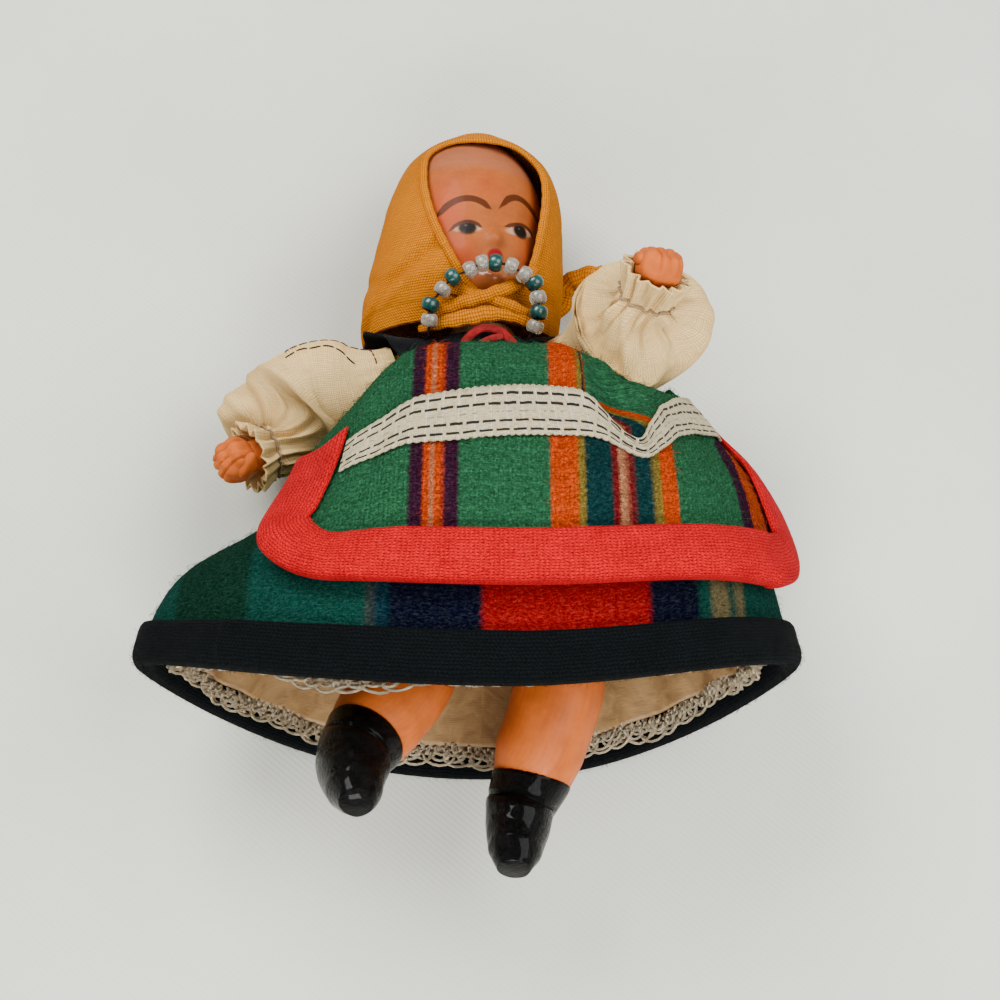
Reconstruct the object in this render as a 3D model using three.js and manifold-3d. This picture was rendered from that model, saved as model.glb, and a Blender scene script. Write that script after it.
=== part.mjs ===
// Strung composition doll in regional dress, about 130 mm from the top of the scarf to the toes.
// It lies on its back as it is kept: +Z is the doll's front, +Y its head, +X its left-hand side.
// The bare doll is five castings: a hollow torso, a head with its neck, two arms and two legs.
// One elastic runs through the shoulders and one through the hips, with a knot inside each limb,
// and a wire hook in the neck holds the head on the shoulder elastic.
import * as THREE from 'three';
import { mergeVertices } from 'three/addons/utils/BufferGeometryUtils.js';
import Module from 'manifold-3d';

const wasm = await Module();
wasm.setup();

const DEG = Math.PI / 180;
const V = (x, y, z) => new THREE.Vector3(x, y, z);

// Driving dimensions, in millimetres

const CLEARANCE = 0.3; // between pieces that touch on the real doll
const BODY_X = 2; // midline of the torso
const SHOULDER_Y = 18;
const SHOULDER_Z = 18;
const SHOULDER_SPREAD = 11.6; // from the midline to the middle of an arm's ball
const HIP_Y = -13.2;
const HIP_Z = 19.5;
const HIP_SPREAD = 9.2;
const ARM_BALL = 4.2; // radius
const HIP_BALL = 6.4; // radius
const TORSO_WALL = 2.4;
const CAVITY_END = -5; // the hips below it are solid
const CROTCH = 4.6; // thickness of the web between the legs
const NECK_Y = 26.5; // plane where the head's neck meets the torso
const NECK_Z = 17;
const HEAD_TURN = 20 * DEG; // towards the doll's left-hand side
const ELASTIC_RADIUS = 0.8;
const KNOT_RADIUS = 1.7;
const HOOK_WIRE = 0.45; // radius
const HOOK_RADIUS = 2.2; // of the bend, to the middle of the wire
const BLOUSE_CLOTH = 0.5;
const BODICE_CLOTH = 0.8;
const WAISTBAND = 0.6;
const WAISTBAND_WIDTH = 3.2;
const SKIRT_CLOTH = 1.2;
const PETTICOAT_CLOTH = 0.6;
const PETTICOAT_GAP = 1.1; // the lining hangs inside the skirt
const APRON_CLOTH = 1.0;
const HEM_BRAID_THICK = 1.1;
const HEM_BRAID_WIDTH = 6.8;
const APRON_BRAID_THICK = 0.9;
const APRON_BRAID_WIDTH = 6.6;
const BRAID_GAP = 0.5;
const RIBBON_WIDTH = 7.6;
const RIBBON_THICK = 0.4;
const LACE_THICK = 0.5;
const SLEEVE_SINK = 11; // how far the left sleeve presses the dress down
const LACE_WIDTH = 7;
const LACE_POINTS = 26;
const SCARF_CLOTH = 0.8;
const SLEEVE_CLOTH = 0.7;
const BEAD_RADIUS = 1.5;
const BEAD_LENGTH = 2.1;
const BEAD_BORE = 0.5; // radius
const THREAD_RADIUS = 0.2;
const WRIST_THREAD_RADIUS = 0.25;

// Closed surface through rings of points. The ends are a fan to the ring's middle, a zip between
// the two halves of a thin ring, or nothing where the last ring meets the first. On a sheet the
// second half of each ring runs back along the other face, so its squares are split the other way.
function shell(rings, ends = 'fan', sheet = false) {
  const n = rings[0].length;
  const points = rings.flat();
  const faces = [];
  const last = ends === 'wrap' ? rings.length : rings.length - 1;
  for (let i = 0; i < last; i++) {
    const a = i * n;
    const b = ((i + 1) % rings.length) * n;
    for (let j = 0; j < n; j++) {
      const k = (j + 1) % n;
      if (sheet && j >= n / 2) faces.push([a + j, b + j, a + k], [b + j, b + k, a + k]);
      else faces.push([a + j, b + j, b + k], [a + j, b + k, a + k]);
    }
  }
  if (ends === 'fan') {
    for (const [ring, turn] of [[0, true], [rings.length - 1, false]]) {
      const middle = new THREE.Vector3();
      rings[ring].forEach((p) => middle.addScaledVector(p, 1 / n));
      const m = points.push(middle) - 1;
      for (let j = 0; j < n; j++) {
        const p = ring * n + j;
        const q = ring * n + ((j + 1) % n);
        faces.push(turn ? [m, p, q] : [m, q, p]);
      }
    }
  }
  if (ends === 'zip') {
    for (const [ring, turn] of [[0, true], [rings.length - 1, false]]) {
      for (let j = 0; j < n / 2 - 1; j++) {
        const quad = [j, j + 1, n - 2 - j, n - 1 - j].map((k) => ring * n + k);
        const pair = [[quad[0], quad[2], quad[1]], [quad[0], quad[3], quad[2]]];
        pair.forEach(([p, q, r]) => faces.push(turn ? [p, r, q] : [p, q, r]));
      }
    }
  }
  let volume = 0;
  for (const [p, q, r] of faces) volume += points[p].dot(points[q].clone().cross(points[r]));
  if (volume < 0) faces.forEach((f) => f.reverse());
  const geometry = new THREE.BufferGeometry();
  const numbers = points.flatMap((p) => [p.x, p.y, p.z]);
  geometry.setAttribute('position', new THREE.Float32BufferAttribute(numbers, 3));
  geometry.setIndex(faces.flat());
  return geometry;
}

// A three.js geometry as a solid that can be cut and joined, and back again
function solid(geometry) {
  const bare = geometry.clone();
  bare.deleteAttribute('normal');
  bare.deleteAttribute('uv');
  const merged = mergeVertices(bare, 1e-4);
  const mesh = new wasm.Mesh({
    numProp: 3,
    vertProperties: merged.attributes.position.array,
    triVerts: new Uint32Array(merged.index.array),
  });
  return new wasm.Manifold(mesh);
}

function geometryOf(body) {
  const mesh = body.getMesh();
  const geometry = new THREE.BufferGeometry();
  geometry.setAttribute('position', new THREE.BufferAttribute(mesh.vertProperties, 3));
  geometry.setIndex(new THREE.BufferAttribute(mesh.triVerts, 1));
  return geometry;
}

function joined(...geometries) {
  return geometryOf(geometries.map(solid).reduce((a, b) => a.add(b)));
}

function cut(geometry, ...tools) {
  return geometryOf(tools.map(solid).reduce((a, b) => a.subtract(b), solid(geometry)));
}

function ball(centre, radii, wide = 12, high = 8) {
  const geometry = new THREE.SphereGeometry(1, wide, high);
  geometry.scale(radii.x, radii.y, radii.z);
  return geometry.translate(centre.x, centre.y, centre.z);
}

// A rod along X between two places
function rodX(from, to, y, z, radius, sides = 12) {
  const rod = new THREE.CylinderGeometry(radius, radius, Math.abs(to - from), sides);
  return rod.rotateZ(Math.PI / 2).translate((from + to) / 2, y, z);
}

// A body along a smooth path: rings square to the path, with a half width along side and a half depth
function pathRings(path, sizes, side, steps, sides) {
  const line = new THREE.CatmullRomCurve3(path);
  const size = new THREE.CatmullRomCurve3(sizes.map(([a, b]) => V(a, b, 0)));
  const rings = [];
  for (let i = 0; i <= steps; i++) {
    const u = i / steps;
    const middle = line.getPoint(u);
    const along = line.getTangent(u);
    const across = side.clone().addScaledVector(along, -side.dot(along)).normalize();
    const deep = along.clone().cross(across);
    const { x: a, y: b } = size.getPoint(u);
    const ring = [];
    for (let j = 0; j < sides; j++) {
      const q = (j / sides) * 2 * Math.PI;
      const point = middle.clone().addScaledVector(across, a * Math.cos(q));
      ring.push(point.addScaledVector(deep, b * Math.sin(q)));
    }
    rings.push(ring);
  }
  return rings;
}

// A round tube of one radius along a path
function tube(path, radius, steps, sides, closed = false) {
  const line = new THREE.CatmullRomCurve3(path, closed);
  const rings = [];
  const frames = line.computeFrenetFrames(steps, closed);
  for (let i = 0; i < steps + (closed ? 0 : 1); i++) {
    const middle = line.getPointAt(i / steps);
    const ring = [];
    for (let j = 0; j < sides; j++) {
      const q = (j / sides) * 2 * Math.PI;
      const out = frames.normals[i].clone().multiplyScalar(Math.cos(q));
      out.addScaledVector(frames.binormals[i], Math.sin(q));
      ring.push(middle.clone().addScaledVector(out, radius));
    }
    rings.push(ring);
  }
  return shell(rings, closed ? 'wrap' : 'fan');
}

// Values of a table of stations at u, on a smooth curve through them. The first column is u.
function along(table, u) {
  const last = table.length - 1;
  let i = 0;
  while (i < last - 1 && u > table[i + 1][0]) i++;
  const [a, b] = [table[i], table[i + 1]];
  const before = table[Math.max(i - 1, 0)];
  const after = table[Math.min(i + 2, last)];
  const h = b[0] - a[0];
  const s = (u - a[0]) / h;
  return a.slice(1).map((p, c) => {
    const k = c + 1;
    const m0 = i > 0 ? ((b[k] - before[k]) / (b[0] - before[0])) * h : b[k] - p;
    const m1 = i < last - 1 ? ((after[k] - p) / (after[0] - a[0])) * h : b[k] - p;
    const s2 = s * s;
    const s3 = s2 * s;
    return (2 * s3 - 3 * s2 + 1) * p + (s3 - 2 * s2 + s) * m0 + (3 * s2 - 2 * s3) * b[k] + (s3 - s2) * m1;
  });
}

// Rings round the doll at heights in Y, each with a reach to the left, right, front and back
function stackRings(table, heights, sides, swell = 0) {
  return heights.map((y) => {
    const [left, right, front, back] = along(table, y);
    const middleX = (left + right) / 2;
    const middleZ = (front + back) / 2;
    const ring = [];
    for (let j = 0; j < sides; j++) {
      const q = (j / sides) * 2 * Math.PI;
      const x = middleX + ((right - left) / 2 + swell) * Math.sin(q);
      ring.push(V(x, y, middleZ + ((front - back) / 2 + swell) * Math.cos(q)));
    }
    return ring;
  });
}

function spread(from, to, steps) {
  return Array.from({ length: steps + 1 }, (_, i) => from + ((to - from) * i) / steps);
}

function smooth(x, from, to) {
  return THREE.MathUtils.smoothstep(x, from, to);
}

// Limbs: one casting each for arm and leg, in its own frame, with the ball at the origin,
// the limb along -Y and the forearm or toes turned to +Z. Each is aimed by two directions.

function aim({ towards, front }, place, mirror) {
  const y = towards.clone().normalize().negate();
  const z = front.clone().addScaledVector(y, -front.dot(y)).normalize();
  const matrix = new THREE.Matrix4().makeBasis(y.clone().cross(z), y, z).setPosition(place);
  return mirror ? matrix.scale(V(-1, 1, 1)) : matrix;
}

function aimed(geometry, matrix) {
  const copy = geometry.clone();
  if (matrix.determinant() < 0) copy.setIndex(Array.from(copy.index.array).reverse());
  return copy.applyMatrix4(matrix);
}

const FINGERS = 4;
const FIST = V(0, -31.6, 6.6);

function armCasting() {
  const path = [V(0, 0, 0), V(0.6, -7, -1), V(0.8, -15, -1.4), V(0.4, -22, 0.8), V(0, -30, 5.2)];
  const sizes = [[3.8, 3.8], [4, 3.9], [3.5, 3.4], [3, 2.9], [2.5, 2.2]];
  const upper = shell(pathRings(path, sizes, V(1, 0, 0), 7, 10));
  const pieces = [upper, ball(V(0, 0, 0), V(ARM_BALL, ARM_BALL, ARM_BALL), 10, 7)];
  const palm = ball(V(0, 0, 0), V(3.1, 2.9, 2.2), 10, 6).rotateX(35 * DEG);
  pieces.push(palm.translate(FIST.x, FIST.y + 0.4, FIST.z - 0.4));
  for (let i = 0; i < FINGERS; i++) {
    const finger = ball(V(0, 0, 0), V(0.98, 2.7, 2.5), 6, 5).rotateX(35 * DEG);
    pieces.push(finger.translate((i - (FINGERS - 1) / 2) * 1.62, FIST.y, FIST.z));
  }
  const thumb = ball(V(0, 0, 0), V(0.9, 2.2, 1), 6, 5).rotateX(20 * DEG);
  pieces.push(thumb.translate(-2.9, FIST.y + 1.5, FIST.z + 1.2));
  return joined(...pieces);
}
const ARM_CASTING = armCasting();

// The boot is cast with the leg, heel, instep and rounded toe in one; its black is paint.
// Both legs come from one mould, so they curve the same way and the left one is turned inwards.
function legCasting() {
  const path = [
    V(0, 0, 0), V(1.6, -10, 0), V(3, -20, 0.3), V(1.6, -26.3, 0.1), V(0, -30.6, -0.4),
    V(-1.4, -35, -0.9), V(-3, -39.2, -0.2), V(-3.6, -43, 1.8), V(-3.9, -46.8, 4.2), V(-4.2, -49.6, 5.8),
  ];
  const sizes = [
    [6, 6], [7, 6.9], [7.1, 6.8], [6.9, 6.7], [6.9, 6.6],
    [6, 5.9], [5.1, 5.3], [4.7, 4.9], [3.8, 3.7], [2.3, 2],
  ];
  const upper = shell(pathRings(path, sizes, V(1, 0, 0), 17, 12));
  return joined(upper, ball(V(0, 0, 0), V(HIP_BALL, HIP_BALL, HIP_BALL), 12, 8));
}
const LEG_CASTING = legCasting();

// Room inside a limb's ball for the elastic and its knot, open towards the torso
function knotRoom(x, y, z, sideways) {
  const room = ball(V(x, y, z), V(KNOT_RADIUS + 0.4, KNOT_RADIUS + 0.4, KNOT_RADIUS + 0.4), 8, 6);
  const bore = rodX(x, x - sideways * (HIP_BALL + 1), y, z, ELASTIC_RADIUS + 0.4, 8);
  return joined(room, bore);
}

const SIDES = { left: -1, right: 1 }; // as seen from the front

const ARM_AIM = {
  left: { towards: V(-26.5, -16, -2.5), front: V(-0.2, 0, 1) },
  right: { towards: V(15.9, 0.3, 26.8), front: V(-0.1, 1, 0) },
};
const LEG_AIM = {
  left: { towards: V(-6.4, -34, 13.8), front: V(0.9, 0.2, 1) },
  right: { towards: V(0, -1, 0), front: V(0, 0, 1) },
};

function armPlace(side) {
  const shoulder = V(BODY_X + SIDES[side] * SHOULDER_SPREAD, SHOULDER_Y, SHOULDER_Z);
  return aim(ARM_AIM[side], shoulder, side === 'left');
}

function arm(side) {
  const room = knotRoom(BODY_X + SIDES[side] * SHOULDER_SPREAD, SHOULDER_Y, SHOULDER_Z, SIDES[side]);
  return cut(aimed(ARM_CASTING, armPlace(side)), room);
}

function leg(side) {
  const hip = V(BODY_X + SIDES[side] * HIP_SPREAD, HIP_Y, HIP_Z);
  const placed = aimed(LEG_CASTING, aim(LEG_AIM[side], hip, false));
  return cut(placed, knotRoom(hip.x, hip.y, hip.z, SIDES[side]));
}

// Torso: left, right, front and back reach at each height
const TORSO = [
  [-19.6, -2, 6, 23, 15.5],
  [-17, -6.5, 10.5, 26, 12.5],
  [-12, -8.6, 12.6, 27.6, 10.8],
  [-4, -8.6, 12.6, 27.2, 10.4],
  [4, -7.2, 11.2, 26, 10.2],
  [9, -6.9, 10.9, 25.6, 10],
  [15, -7.6, 11.6, 26, 9.8],
  [19, -7.8, 11.8, 25.6, 10],
  [22, -6, 10, 24.2, 10.4],
  [24.2, -3.4, 7.4, 22.2, 11.8],
  [26.2, -3.1, 7.1, 22.1, 11.9],
];

function torso() {
  const outer = stackRings(TORSO, spread(-19.6, 26.2, 13), 16);
  const inner = stackRings(TORSO, spread(CAVITY_END, 21.6, 6), 12, -TORSO_WALL);
  const tools = [shell(inner)];
  const neckHole = new THREE.CylinderGeometry(HOOK_RADIUS + 0.9, HOOK_RADIUS + 0.9, 8, 12);
  tools.push(neckHole.translate(BODY_X, 23.4, NECK_Z));
  const seat = ball(V(BODY_X, NECK_Y + 1.2, NECK_Z), V(4, 4, 4), 12, 8);
  tools.push(seat);
  for (const side of [-1, 1]) {
    const cup = ARM_BALL + CLEARANCE;
    const hipCup = HIP_BALL + CLEARANCE;
    tools.push(ball(V(BODY_X + side * SHOULDER_SPREAD, SHOULDER_Y, SHOULDER_Z), V(cup, cup, cup), 12, 8));
    tools.push(ball(V(BODY_X + side * HIP_SPREAD, HIP_Y, HIP_Z), V(hipCup, hipCup, hipCup), 12, 8));
    const web = BODY_X + (side * CROTCH) / 2;
    tools.push(rodX(web, web + side * 14, HIP_Y - 9, HIP_Z, 10.5, 14));
  }
  const hole = ELASTIC_RADIUS + 0.7;
  tools.push(rodX(BODY_X - SHOULDER_SPREAD, BODY_X + SHOULDER_SPREAD, SHOULDER_Y, SHOULDER_Z, hole));
  tools.push(rodX(BODY_X - HIP_SPREAD, BODY_X + HIP_SPREAD, HIP_Y, HIP_Z, hole));
  return cut(shell(outer), ...tools);
}

function elastic(spreadX, y, z) {
  const cord = rodX(BODY_X - spreadX, BODY_X + spreadX, y, z, ELASTIC_RADIUS, 8);
  const knots = [-1, 1].map((side) => {
    const sizes = V(KNOT_RADIUS, KNOT_RADIUS * 0.9, KNOT_RADIUS * 0.9);
    return ball(V(BODY_X + side * spreadX, y, z), sizes, 8, 6);
  });
  return joined(cord, ...knots);
}

// Head frame: origin on the neck's axis, turned with the head
function onHead(geometry) {
  return geometry.rotateY(HEAD_TURN).translate(BODY_X, 0, NECK_Z);
}

// Head: left, right, front and back reach at each height, from the neck's end to the crown
const HEAD = [
  [26.6, -3.4, 3.4, 3.4, -3.4],
  [28.2, -4.3, 4.3, 4.3, -4.3],
  [29.6, -6.2, 5.4, 8, -6.4],
  [31.5, -9, 7, 9.2, -10],
  [35, -11.6, 9.4, 9.8, -13],
  [40, -13.3, 10.6, 9.9, -14.4],
  [46, -13.9, 10.9, 9.8, -14.8],
  [52, -13.1, 10.3, 8.8, -14],
  [57, -10.9, 8.1, 6.4, -11.6],
  [60.5, -7.4, 4.9, 2.8, -8],
  [62.4, -3.3, 1.2, -1, -4],
];
const FACE_X = -1.3; // middle of the face in the head's frame

// Nose, chin and cheeks: each a height, a sideways place, a reach and its spread
const FEATURES = [
  { y: 38.6, x: 0, out: 1.3, tall: 1.6, wide: 1.3 },
  { y: 31.6, x: 0, out: 1.2, tall: 1.7, wide: 2.4 },
  { y: 35.6, x: 0, out: 0.5, tall: 0.9, wide: 1.9 },
  { y: 36.6, x: 5.2, out: 0.6, tall: 2.6, wide: 2.4 },
  { y: 36.6, x: -5.2, out: 0.6, tall: 2.6, wide: 2.4 },
];

function headCasting() {
  const heights = [
    26.6, 28.2, 29.2, 30.2, 31.3, 32.6, 34.2, 35.4, 36.8, 38.4, 40, 43, 47, 51, 55, 58.5, 61, 62.4,
  ];
  const rings = stackRings(HEAD, heights, 22);
  for (const ring of rings) {
    for (const p of ring) {
      if (p.z < 0) continue;
      for (const f of FEATURES) {
        const q = ((p.y - f.y) / f.tall) ** 2 + ((p.x - FACE_X - f.x) / f.wide) ** 2;
        p.z += f.out * Math.exp(-q);
      }
    }
  }
  const neckEnd = ball(V(0, NECK_Y + 1.2, 0), V(3.6, 3.6, 3.6), 12, 8);
  const socket = new THREE.CylinderGeometry(HOOK_WIRE + CLEARANCE, HOOK_WIRE + CLEARANCE, 8, 8);
  const casting = joined(shell(rings), neckEnd);
  return onHead(cut(casting, socket.translate(0, 26.5, 0)));
}

// The neck's wire: a stem set in the head and a bend under the shoulder elastic
function neckHook() {
  const below = SHOULDER_Z - NECK_Z;
  const path = [V(0, 30, 0), V(0, 27, 0), V(0, 24, 0), V(0, 21.6, -0.4)];
  for (let a = 60; a <= 315; a += 30) {
    path.push(V(0, SHOULDER_Y + HOOK_RADIUS * Math.cos(a * DEG), below - HOOK_RADIUS * Math.sin(a * DEG)));
  }
  return onHead(tube(path, HOOK_WIRE, 22, 5));
}

// Blouse body and bodice: shells round the torso, with round armholes about the shoulder's axis
function bodyShell(inside, cloth, bottom, top, armhole) {
  const heights = spread(bottom, top, 5);
  const outer = stackRings(TORSO, heights, 14, inside + cloth);
  const inner = stackRings(TORSO, heights, 14, inside);
  const tools = [];
  for (const side of [-1, 1]) {
    const from = BODY_X + side * 5;
    tools.push(rodX(from, from + side * 12, SHOULDER_Y, SHOULDER_Z, armhole, 12));
  }
  return cut(shell([...outer, ...inner.reverse()], 'wrap'), ...tools);
}

const BLOUSE_GAP = CLEARANCE;
const BODICE_GAP = BLOUSE_GAP + BLOUSE_CLOTH + CLEARANCE;
const WAISTBAND_GAP = BODICE_GAP + BODICE_CLOTH + CLEARANCE;
const WAIST_Y = 9.4;

function waistband() {
  const heights = [WAIST_Y - WAISTBAND_WIDTH / 2, WAIST_Y + WAISTBAND_WIDTH / 2];
  const outer = stackRings(TORSO, heights, 20, WAISTBAND_GAP + WAISTBAND);
  const inner = stackRings(TORSO, heights, 20, WAISTBAND_GAP);
  return shell([...outer, ...inner.reverse()], 'wrap');
}

// Skirt: the middle of the cloth from the waist seam, over the gathered crest, to the hem.
// Columns: share of the length, Y in front, at the sides and behind, and the reach to each side.
const SKIRT = [
  [0, 10, 10, 10, -11.6, 15.6, 29.4, 6.2],
  [0.05, 11.2, 12, 12, -15.2, 19.2, 34, 4],
  [0.1, 12, 12.4, 12, -19, 24.5, 39.4, 2.6],
  [0.17, 9.6, 9.2, 8, -23.5, 30, 43.8, 2.1],
  [0.3, 1.2, 1.2, 0, -28.5, 35.7, 46.6, 2.1],
  [0.48, -9, -7, -12, -36, 41.5, 48.2, 2.1],
  [0.64, -18.5, -15, -22, -42.3, 45, 49, 2.1],
  [0.85, -31, -25.2, -35.5, -47.3, 47.4, 49.7, 2.1],
  [1, -39.3, -32, -44.6, -48.8, 48.8, 49.9, 2.1],
];
const LIE_Z = HEM_BRAID_THICK + CLEARANCE + SKIRT_CLOTH / 2; // cloth's middle over the table
const HEM_SLOPE = 60; // millimetres of cloth for one unit of length near the hem

// Main folds of the skirt: an angle from the front, a share of the length, a rise and its spread
const FOLDS = [
  { at: -20, t: 0.95, rise: 1, wide: 13, tall: 0.3 },
  { at: 12, t: 1, rise: -1, wide: 12, tall: 0.3 },
  { at: 46, t: 0.95, rise: 1, wide: 13, tall: 0.3 },
  { at: -62, t: 0.9, rise: -1.2, wide: 11, tall: 0.25 },
];

// Sleeves: a puffed tube of cotton from the shoulder seam to the gathered wrist and its frill.
// The path is in the arm's own frame after the seam; the puff hangs to one side by its slack.
const SLEEVE_PATH = [
  V(0.7, -7.5, -0.6), V(0.8, -13.5, -0.6), V(0.5, -19.6, 0.2),
  V(0.2, -24.8, 2.1), V(0.2, -26.6, 3), V(0.1, -28.8, 4.2),
];
const SLEEVE_SIZES = {
  left: [5.6, 5.9, 6.8, 9.4, 11.2, 4, 3.9, 5.4],
  right: [5.6, 5.9, 6.8, 9.4, 10.6, 4, 3.9, 5.4],
};
const SLACK = {
  left: [V(-1.6, 0.6, 0), V(-3.4, 2.2, -0.6), V(-2.6, 1.8, -0.8), V(0, 0, 0), V(0, 0, 0), V(0, 0, 0)],
  right: [V(0.9, 0.4, -1.2), V(2, 1.7, -0.6), V(1.6, 2.4, 0), V(0, 0, 0), V(0, 0, 0), V(0, 0, 0)],
};
const SEAM_OUT = [1.6, 3.1]; // from the middle of the arm's ball to the sleeve's seam and past it
const SEAM_FOLLOW = 0.6; // how far the seam's middle follows the slope of the arm

function sleeveLine(side) {
  const place = armPlace(side);
  const { towards } = ARM_AIM[side];
  const seam = SEAM_OUT.map((out) => {
    const point = V(BODY_X + SIDES[side] * SHOULDER_SPREAD, SHOULDER_Y, SHOULDER_Z);
    point.addScaledVector(towards, (SEAM_FOLLOW * out) / Math.abs(towards.x));
    point.x = BODY_X + SIDES[side] * (SHOULDER_SPREAD + out);
    return point;
  });
  const path = SLEEVE_PATH.map((p, i) => p.clone().applyMatrix4(place).add(SLACK[side][i]));
  return [...seam, ...path];
}

function sleeveRings(side, thinner = 0, steps = 14) {
  const sizes = SLEEVE_SIZES[side].map((r) => [r - thinner, r - thinner]);
  return pathRings(sleeveLine(side), sizes, V(0, 1, 0.01), steps, 12);
}

function sleeve(side) {
  return shell([...sleeveRings(side), ...sleeveRings(side, SLEEVE_CLOTH).reverse()], 'wrap');
}

// Gathering thread tied round the sleeve's wrist
const WRIST_RINGS = 28; // places along the sleeve for the thread
const WRIST_RING = 24;
const WRIST_SLACK = 0.3; // between the thread and the gathers

function wristThread(side) {
  const loop = sleeveRings(side, -(CLEARANCE + WRIST_THREAD_RADIUS + WRIST_SLACK), WRIST_RINGS)[WRIST_RING];
  return tube(loop, WRIST_THREAD_RADIUS, 16, 5, true);
}

// The left sleeve swings over the skirt, so the skirt keeps clear of the room it sweeps about the
// shoulder's axis: for each X, the radius of that room. The right sleeve only rests beside it.
const DRESS_THICKNESS = 5.1;
const SWEEP_STEP = 2.5;
const LEFT_SWEEP = [];
for (let x = -48; x <= -7; x += SWEEP_STEP) {
  const near = sleeveRings('left').flat().filter((p) => Math.abs(p.x - x) < SWEEP_STEP * 1.2);
  const radii = near.map((p) => Math.hypot(p.y - SHOULDER_Y, p.z - SHOULDER_Z));
  LEFT_SWEEP.push([x, Math.max(0, ...radii)]);
}
const rightLine = sleeveLine('right');
const RIGHT_ROOM = [];
for (let i = 2.5; i < 5; i += 0.5) {
  const [from, to] = [Math.floor(i), Math.ceil(i)];
  const radius = (SLEEVE_SIZES.right[from] + SLEEVE_SIZES.right[to]) / 2;
  RIGHT_ROOM.push([rightLine[from].clone().lerp(rightLine[to], i - from), radius]);
}

function pressed(p, lift) {
  const y = p.y - SHOULDER_Y;
  const z = p.z - SHOULDER_Z;
  if (p.x < -8) {
    const room = along(LEFT_SWEEP, Math.max(p.x, -48))[0] + DRESS_THICKNESS - lift;
    if (Math.hypot(y, z) < room) p.y = SHOULDER_Y - Math.sqrt(room * room - z * z);
  }
  for (const [middle, radius] of RIGHT_ROOM) {
    const room = radius + DRESS_THICKNESS - lift;
    const away = p.clone().sub(middle);
    if (away.length() < room) p.copy(middle).addScaledVector(away.normalize(), room);
  }
  p.z = Math.max(p.z, LIE_Z - lift);
  return p;
}

function clothMiddle(angle, t) {
  const [yFront, ySide, yBack, left, right, front, back] = along(SKIRT, Math.min(t, 1));
  const c = Math.cos(angle);
  const s = Math.sin(angle);
  const overHem = Math.max(t - 1, 0) * HEM_SLOPE;
  const y = (c > 0 ? yFront : yBack) * c * c + ySide * s * s - overHem;
  const x = s > 0 ? BODY_X + (right - BODY_X) * s : BODY_X + (BODY_X - left) * s;
  const middle = (front + back) / 2;
  return V(x, y, middle + ((front - back) / 2 + 1.6 * smooth(-c, 0, 1)) * c);
}

// The left sleeve rests on the dress and sinks it, most at the waist and not at the hem or the back
const SINK_ACROSS = [6, 24]; // distance left of the middle where it starts and is full
const SINK_ALONG = [-26, 4];
const SINK_DEEP = [6, 22];

function sunk(p) {
  const share = smooth(-p.x, ...SINK_ACROSS) * smooth(p.y, ...SINK_ALONG) * smooth(p.z, ...SINK_DEEP);
  p.y -= SLEEVE_SINK * share;
  return p;
}

// A point of the dress, lifted off the middle of the skirt's cloth along its normal
function dress(angle, t, lift) {
  const e = 0.02;
  const p = clothMiddle(angle, t);
  const round = clothMiddle(angle + e, t).sub(clothMiddle(angle - e, t));
  const down = clothMiddle(angle, Math.min(t + e, 1.05)).sub(clothMiddle(angle, Math.max(t - e, 0)));
  const out = down.cross(round).normalize();
  const degrees = angle > Math.PI ? angle / DEG - 360 : angle / DEG;
  return pressed(sunk(p.addScaledVector(out, lift + folds(FOLDS, degrees, t))), lift);
}

const ROUND = 38; // columns round the skirt
const roundAngles = Array.from({ length: ROUND }, (_, i) => (i / ROUND) * 2 * Math.PI);

function dressBand(shares, outerLift, innerLift, angles = roundAngles) {
  const walk = [
    ...shares.map((t) => [t, outerLift]),
    ...[...shares].reverse().map((t) => [t, innerLift]),
  ];
  return shell(angles.map((a) => walk.map(([t, lift]) => dress(a, t, lift(t)))), 'wrap', true);
}

const CREST_SHARES = [0.03, 0.07, 0.12, 0.2, 0.32, 0.46];
const SKIRT_SHARES = [0, ...CREST_SHARES, 0.64, 0.82, 1];

function skirt() {
  return dressBand(SKIRT_SHARES, () => SKIRT_CLOTH / 2, () => -SKIRT_CLOTH / 2);
}

function petticoatLift(t) {
  return -SKIRT_CLOTH / 2 - PETTICOAT_GAP - (HEM_BRAID_THICK + CLEARANCE) * smooth(t, 0.3, 0.8);
}
const PETTICOAT_END = 0.9;

function petticoat() {
  const shares = [...CREST_SHARES.slice(3), 0.64, PETTICOAT_END];
  return dressBand(shares, petticoatLift, (t) => petticoatLift(t) - PETTICOAT_CLOTH);
}

// Lace: a band sewn inside the petticoat's edge, its lower edge in points
function lace() {
  const columns = LACE_POINTS * 3;
  const rings = [];
  for (let i = 0; i < columns; i++) {
    const angle = (i / columns) * 2 * Math.PI;
    const point = 0.011 * Math.abs(Math.sin((i * Math.PI) / 3));
    const top = PETTICOAT_END + CLEARANCE / HEM_SLOPE;
    const bottom = top + LACE_WIDTH / HEM_SLOPE + point;
    const outer = petticoatLift(1);
    const inner = outer - LACE_THICK;
    const corners = [[top, outer], [bottom, outer], [bottom, inner], [top, inner]];
    rings.push(corners.map(([t, lift]) => dress(angle, t, lift)));
  }
  return shell(rings, 'wrap');
}

// A braid folded over an edge: inward distance and side of the cloth for a walk round its section
function bindingSection(width, half, thick, gap) {
  const outer = half + gap;
  const full = outer + thick;
  return [
    [width, full],
    [width / 2, full],
    [0, full],
    [-thick, full / 2],
    [-thick, -full / 2],
    [0, -full],
    [width * 0.7, -full],
    [width * 0.7, -outer],
    [width * 0.15, -outer],
    [-CLEARANCE, -outer],
    [-CLEARANCE, outer],
    [width * 0.15, outer],
    [width / 2, outer],
    [width, outer],
  ];
}

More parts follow.
